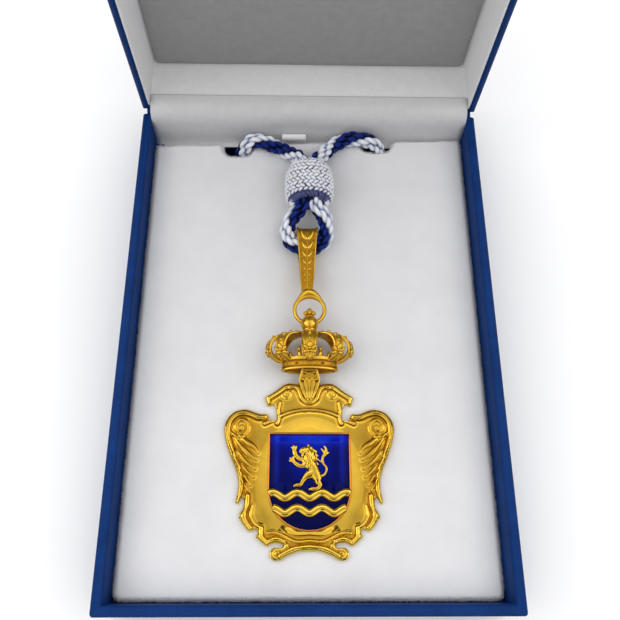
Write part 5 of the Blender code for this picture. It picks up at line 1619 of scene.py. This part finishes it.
# the strap's line from the side as (y, z): up its face, round the fold and down its back
faceLine = [(15.5, 23.05), (18.0, 23.12), (22.0, 23.25), (28.0, 23.55), (33.0, 23.72), (foldY, 23.75)]
foldTurns = np.linspace(0.2, math.pi - 0.2, 12)
bailLine = faceLine + [(foldY + foldR * math.sin(t), foldZ + foldR * math.cos(t)) for t in foldTurns]
bailLine += [
    (foldY, 16.75), (33.5, 16.77), (30.4, 16.95), (26.5, 18.4), (21.5, 20.3), (17.5, 21.75), (15.5, 22.35)
]
bailRun = evenLine(smoothLine(bailLine, 6), 0.45)


def bailHalf(y):
    return np.interp(y, [bail["foot"], bail["top"]], [bail["footHalf"], bail["topHalf"]])


def bailFace(y):
    return np.interp(y, *np.array(faceLine).T)


strapSection = [
    (-1, -0.35), (-1, 0.42), (-0.95, 0.58), (-0.86, 0.58), (-0.78, 0.22), (-0.6, 0.18), (-0.45, 0.18),
    (-0.33, 0.18), (-0.16, 0.19), (0, 0.2), (0.16, 0.19), (0.33, 0.18), (0.45, 0.18), (0.6, 0.18),
    (0.78, 0.22), (0.86, 0.58), (0.95, 0.58), (1, 0.42), (1, -0.35), (0.9, -0.45), (-0.9, -0.45),
]
rings = []
for (y, z), (dy, dz) in zip(bailRun, aheadOf(bailRun)):
    half = bailHalf(y)
    out = np.array([0, -dz, dy])
    tips = 0.6 * max(0, (y - foldY - 1.5) / foldR) ** 2
    rows = [(bail["x"] + w * half, y + tips * (abs(w) ** 3 - 0.4), z) for w, n in strapSection]
    rings.append(np.array([np.array(row) + out * n for row, (w, n) in zip(rows, strapSection)]))
strap = soften(loft("strap", rings, True), 50)

# wheat-ear leaves in pairs up the strap's face, with dots beside their tips
grain = ballAt((0, 0, 0), (0.5, 1.0, 0.34), 12, 8)
for vert in grain.data.vertices:
    tip = (vert.co.y / mm + 1) / 2
    vert.co.x *= 1.25 - 0.85 * tip
    vert.co.x += 0.28 * mm * tip**2
bailPieces = [ringPiece, strap]
# each pair: how far up the strap, length, spread
leafRows = (
    (19.0, 0.85, 0.75), (21.2, 0.95, 0.85), (23.6, 1.1, 1.0), (26.3, 1.4, 1.2), (29.4, 1.7, 1.4),
    (33.0, 2.1, 1.7), (36.9, 2.4, 1.95)
)
for y, length, spread in leafRows:
    half = bailHalf(y)
    z = bailFace(y) + 0.28
    for side in (-1, 1):
        shape = Matrix.Diagonal((side * spread * 0.95, length, 1.6, 1))
        turn = Matrix.Rotation(-side * 0.42, 4, "Z")
        at = Matrix.Translation(Vector((bail["x"] + side * 0.36 * half, y, z)) * mm)
        bailPieces.append(copyAt(grain, at @ turn @ shape))
        if y + 1.25 * length < foldY:
            dot = Matrix.Translation(Vector((bail["x"] + side * 0.64 * half, y + 1.25 * length, z)) * mm)
            bailPieces.append(copyAt(grain, dot @ Matrix.Diagonal((0.6, 0.3, 1.0, 1))))
bpy.data.objects.remove(grain)
stem = [(bail["x"], y, bailFace(y) + 0.22) for y in np.linspace(16, 38.5, 30)]
bailPieces.append(tubes("midrib", [np.array(stem)], [0.2], 8))

# solder fillet between ring and strap, parted by a seam in the middle
for side in (-1, 1):
    run = [(side * 0.16 - 0.2, 14.9, 22.85), (side * 1.5 - 0.1, 14.4, 22.85)]
    run = smoothLine(run + [(side * 2.9, 12.9, 22.82), (side * 4.0, 11.6, 22.81)], 6)
    sizes = np.interp(np.linspace(0, 1, len(run)), [0, 0.3, 0.7, 1], [0.95, 1.15, 0.95, 0.55])
    bailPieces.append(tubes("fillet", [run], [sizes], 14))
for piece in bailPieces:
    while piece.data.uv_layers:
        piece.data.uv_layers.remove(piece.data.uv_layers[0])
bailPiece = joined("giltBail", bailPieces)
pickOnly(bailPiece)
bpy.ops.object.mode_set(mode="EDIT")
bpy.ops.mesh.select_all(action="SELECT")
bpy.ops.mesh.normals_make_consistent(inside=False)
bpy.ops.object.mode_set(mode="OBJECT")
markHollows(bailPiece, 2, 0.2)
# the sunk ground between the strap's borders stays dull round the leaves, and is painted darker there as the
# shade round the raised leaves
spots = pointsOf(bailPiece)
height = spots[:, 2] - bailFace(spots[:, 1])
ground = (np.abs(spots[:, 0] - bail["x"]) < 0.8 * bailHalf(spots[:, 1])) & (np.abs(height - 0.2) < 0.07)
ground &= (spots[:, 1] > bail["foot"]) & (spots[:, 1] < foldY + 1)
markPoints(bailPiece, "hollow", np.where(ground, 0.6, marksOf(bailPiece, "hollow")))
standFor("bail", bailPiece, matteGilt)
print("bail ready", len(bailPiece.data.polygons))

# slide knot: rows of plump stitches that lean to and fro in turn, woven over a core painted dark blue-violet
# as the shade in the gaps between the stitches

weave = {"rows": 11, "across": 27, "length": 3.0, "lean": 40, "thick": 0.68, "proud": 0.36}
# along the knot from its foot (0) to its top (1), and its width there as a share of the widest
knotRows = [
    (-0.02, 0.66), (0.0, 0.8), (0.05, 0.91), (0.15, 0.97), (0.3, 0.99), (0.5, 1.0), (0.7, 0.955),
    (0.85, 0.86), (0.95, 0.76), (1.0, 0.66), (1.02, 0.5),
]
knotRows = np.array(knotRows)
knotFoot, knotRise = knotSize["foot"] + 0.45, knotSize["length"] - 0.9


def knotShare(along):
    return np.interp(along, knotRows[:, 0], knotRows[:, 1])


def onKnot(turn, along, lift):
    share = knotShare(along)
    a = knotSize["width"] / 2 * share + lift
    b = knotSize["depth"] / 2 * share + lift
    x, z = np.sin(turn), np.cos(turn)
    # the foot arches up over the loop at the front
    arch = 1.7 * np.clip(z, 0, 1) * np.clip(1 - along * 1.6, 0, 1)
    return np.stack([a * x, knotFoot + along * knotRise + arch, knotMiddle + b * z], -1)


lines, radii = [], []
bulge = np.array([0.0, 0.62, 1.0, 1.0, 0.62, 0.0])
for row in range(weave["rows"]):
    along = row / (weave["rows"] - 1)
    share = knotShare(along)
    around = math.pi * (knotSize["width"] + knotSize["depth"]) / 2 * share
    hand = 1 if row % 2 else -1
    for k in range(weave["across"]):
        turn = (k + 0.25 * hand) / weave["across"] * math.tau + chance.normal(0, 0.012)
        lean = math.radians(weave["lean"] + chance.normal(0, 4))
        reach = weave["length"] / 2 * np.linspace(-1, 1, 6)
        turns = turn + reach * math.cos(lean) / around * math.tau
        places = np.clip(along + hand * reach * math.sin(lean) / knotSize["length"], -0.02, 1.02)
        lift = -0.95 + weave["proud"] * bulge + chance.normal(0, 0.03)
        lines.append(onKnot(turns, places, lift))
        radii.append(weave["thick"] * (0.35 + 0.65 * bulge) * min(1.0, share + 0.12))
knot = tubes("stitches", lines, radii, 7)
# stitches are painted darker where they sink towards the core: painted shade in the gaps
spots = pointsOf(knot) - (0, 0, knotMiddle)
share = knotShare((spots[:, 1] - knotFoot) / knotRise)
turn = np.arctan2(spots[:, 0] / knotSize["width"], spots[:, 2] / knotSize["depth"])
surface = np.hypot(knotSize["width"] * np.sin(turn), knotSize["depth"] * np.cos(turn)) / 2 * share
markPoints(knot, "proud", (np.hypot(spots[:, 0], spots[:, 2]) - surface + 0.62) / 0.66)
inner = []
for away in np.linspace(-0.01, 1.01, 12):
    turns = np.linspace(0, math.tau, 40, endpoint=False)
    inner.append(onKnot(turns, np.full(40, away), -1.1))
core = loft("knotCore", inner, True)
core.data.uv_layers.new(name="UVMap")
# the core sits low on its colour ramp: painted shade
markPoints(core, "proud", np.full(len(core.data.vertices), 0.2))
finishWith(knot, knotThread)
finishWith(core, knotShade)
knot = joined("wovenKnot", [knot, core])
standFor("slide_knot", knot)
print("knot ready", len(knot.data.polygons))

sizes = {"cad": cadBox, "visual": [list(corner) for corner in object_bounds()]}
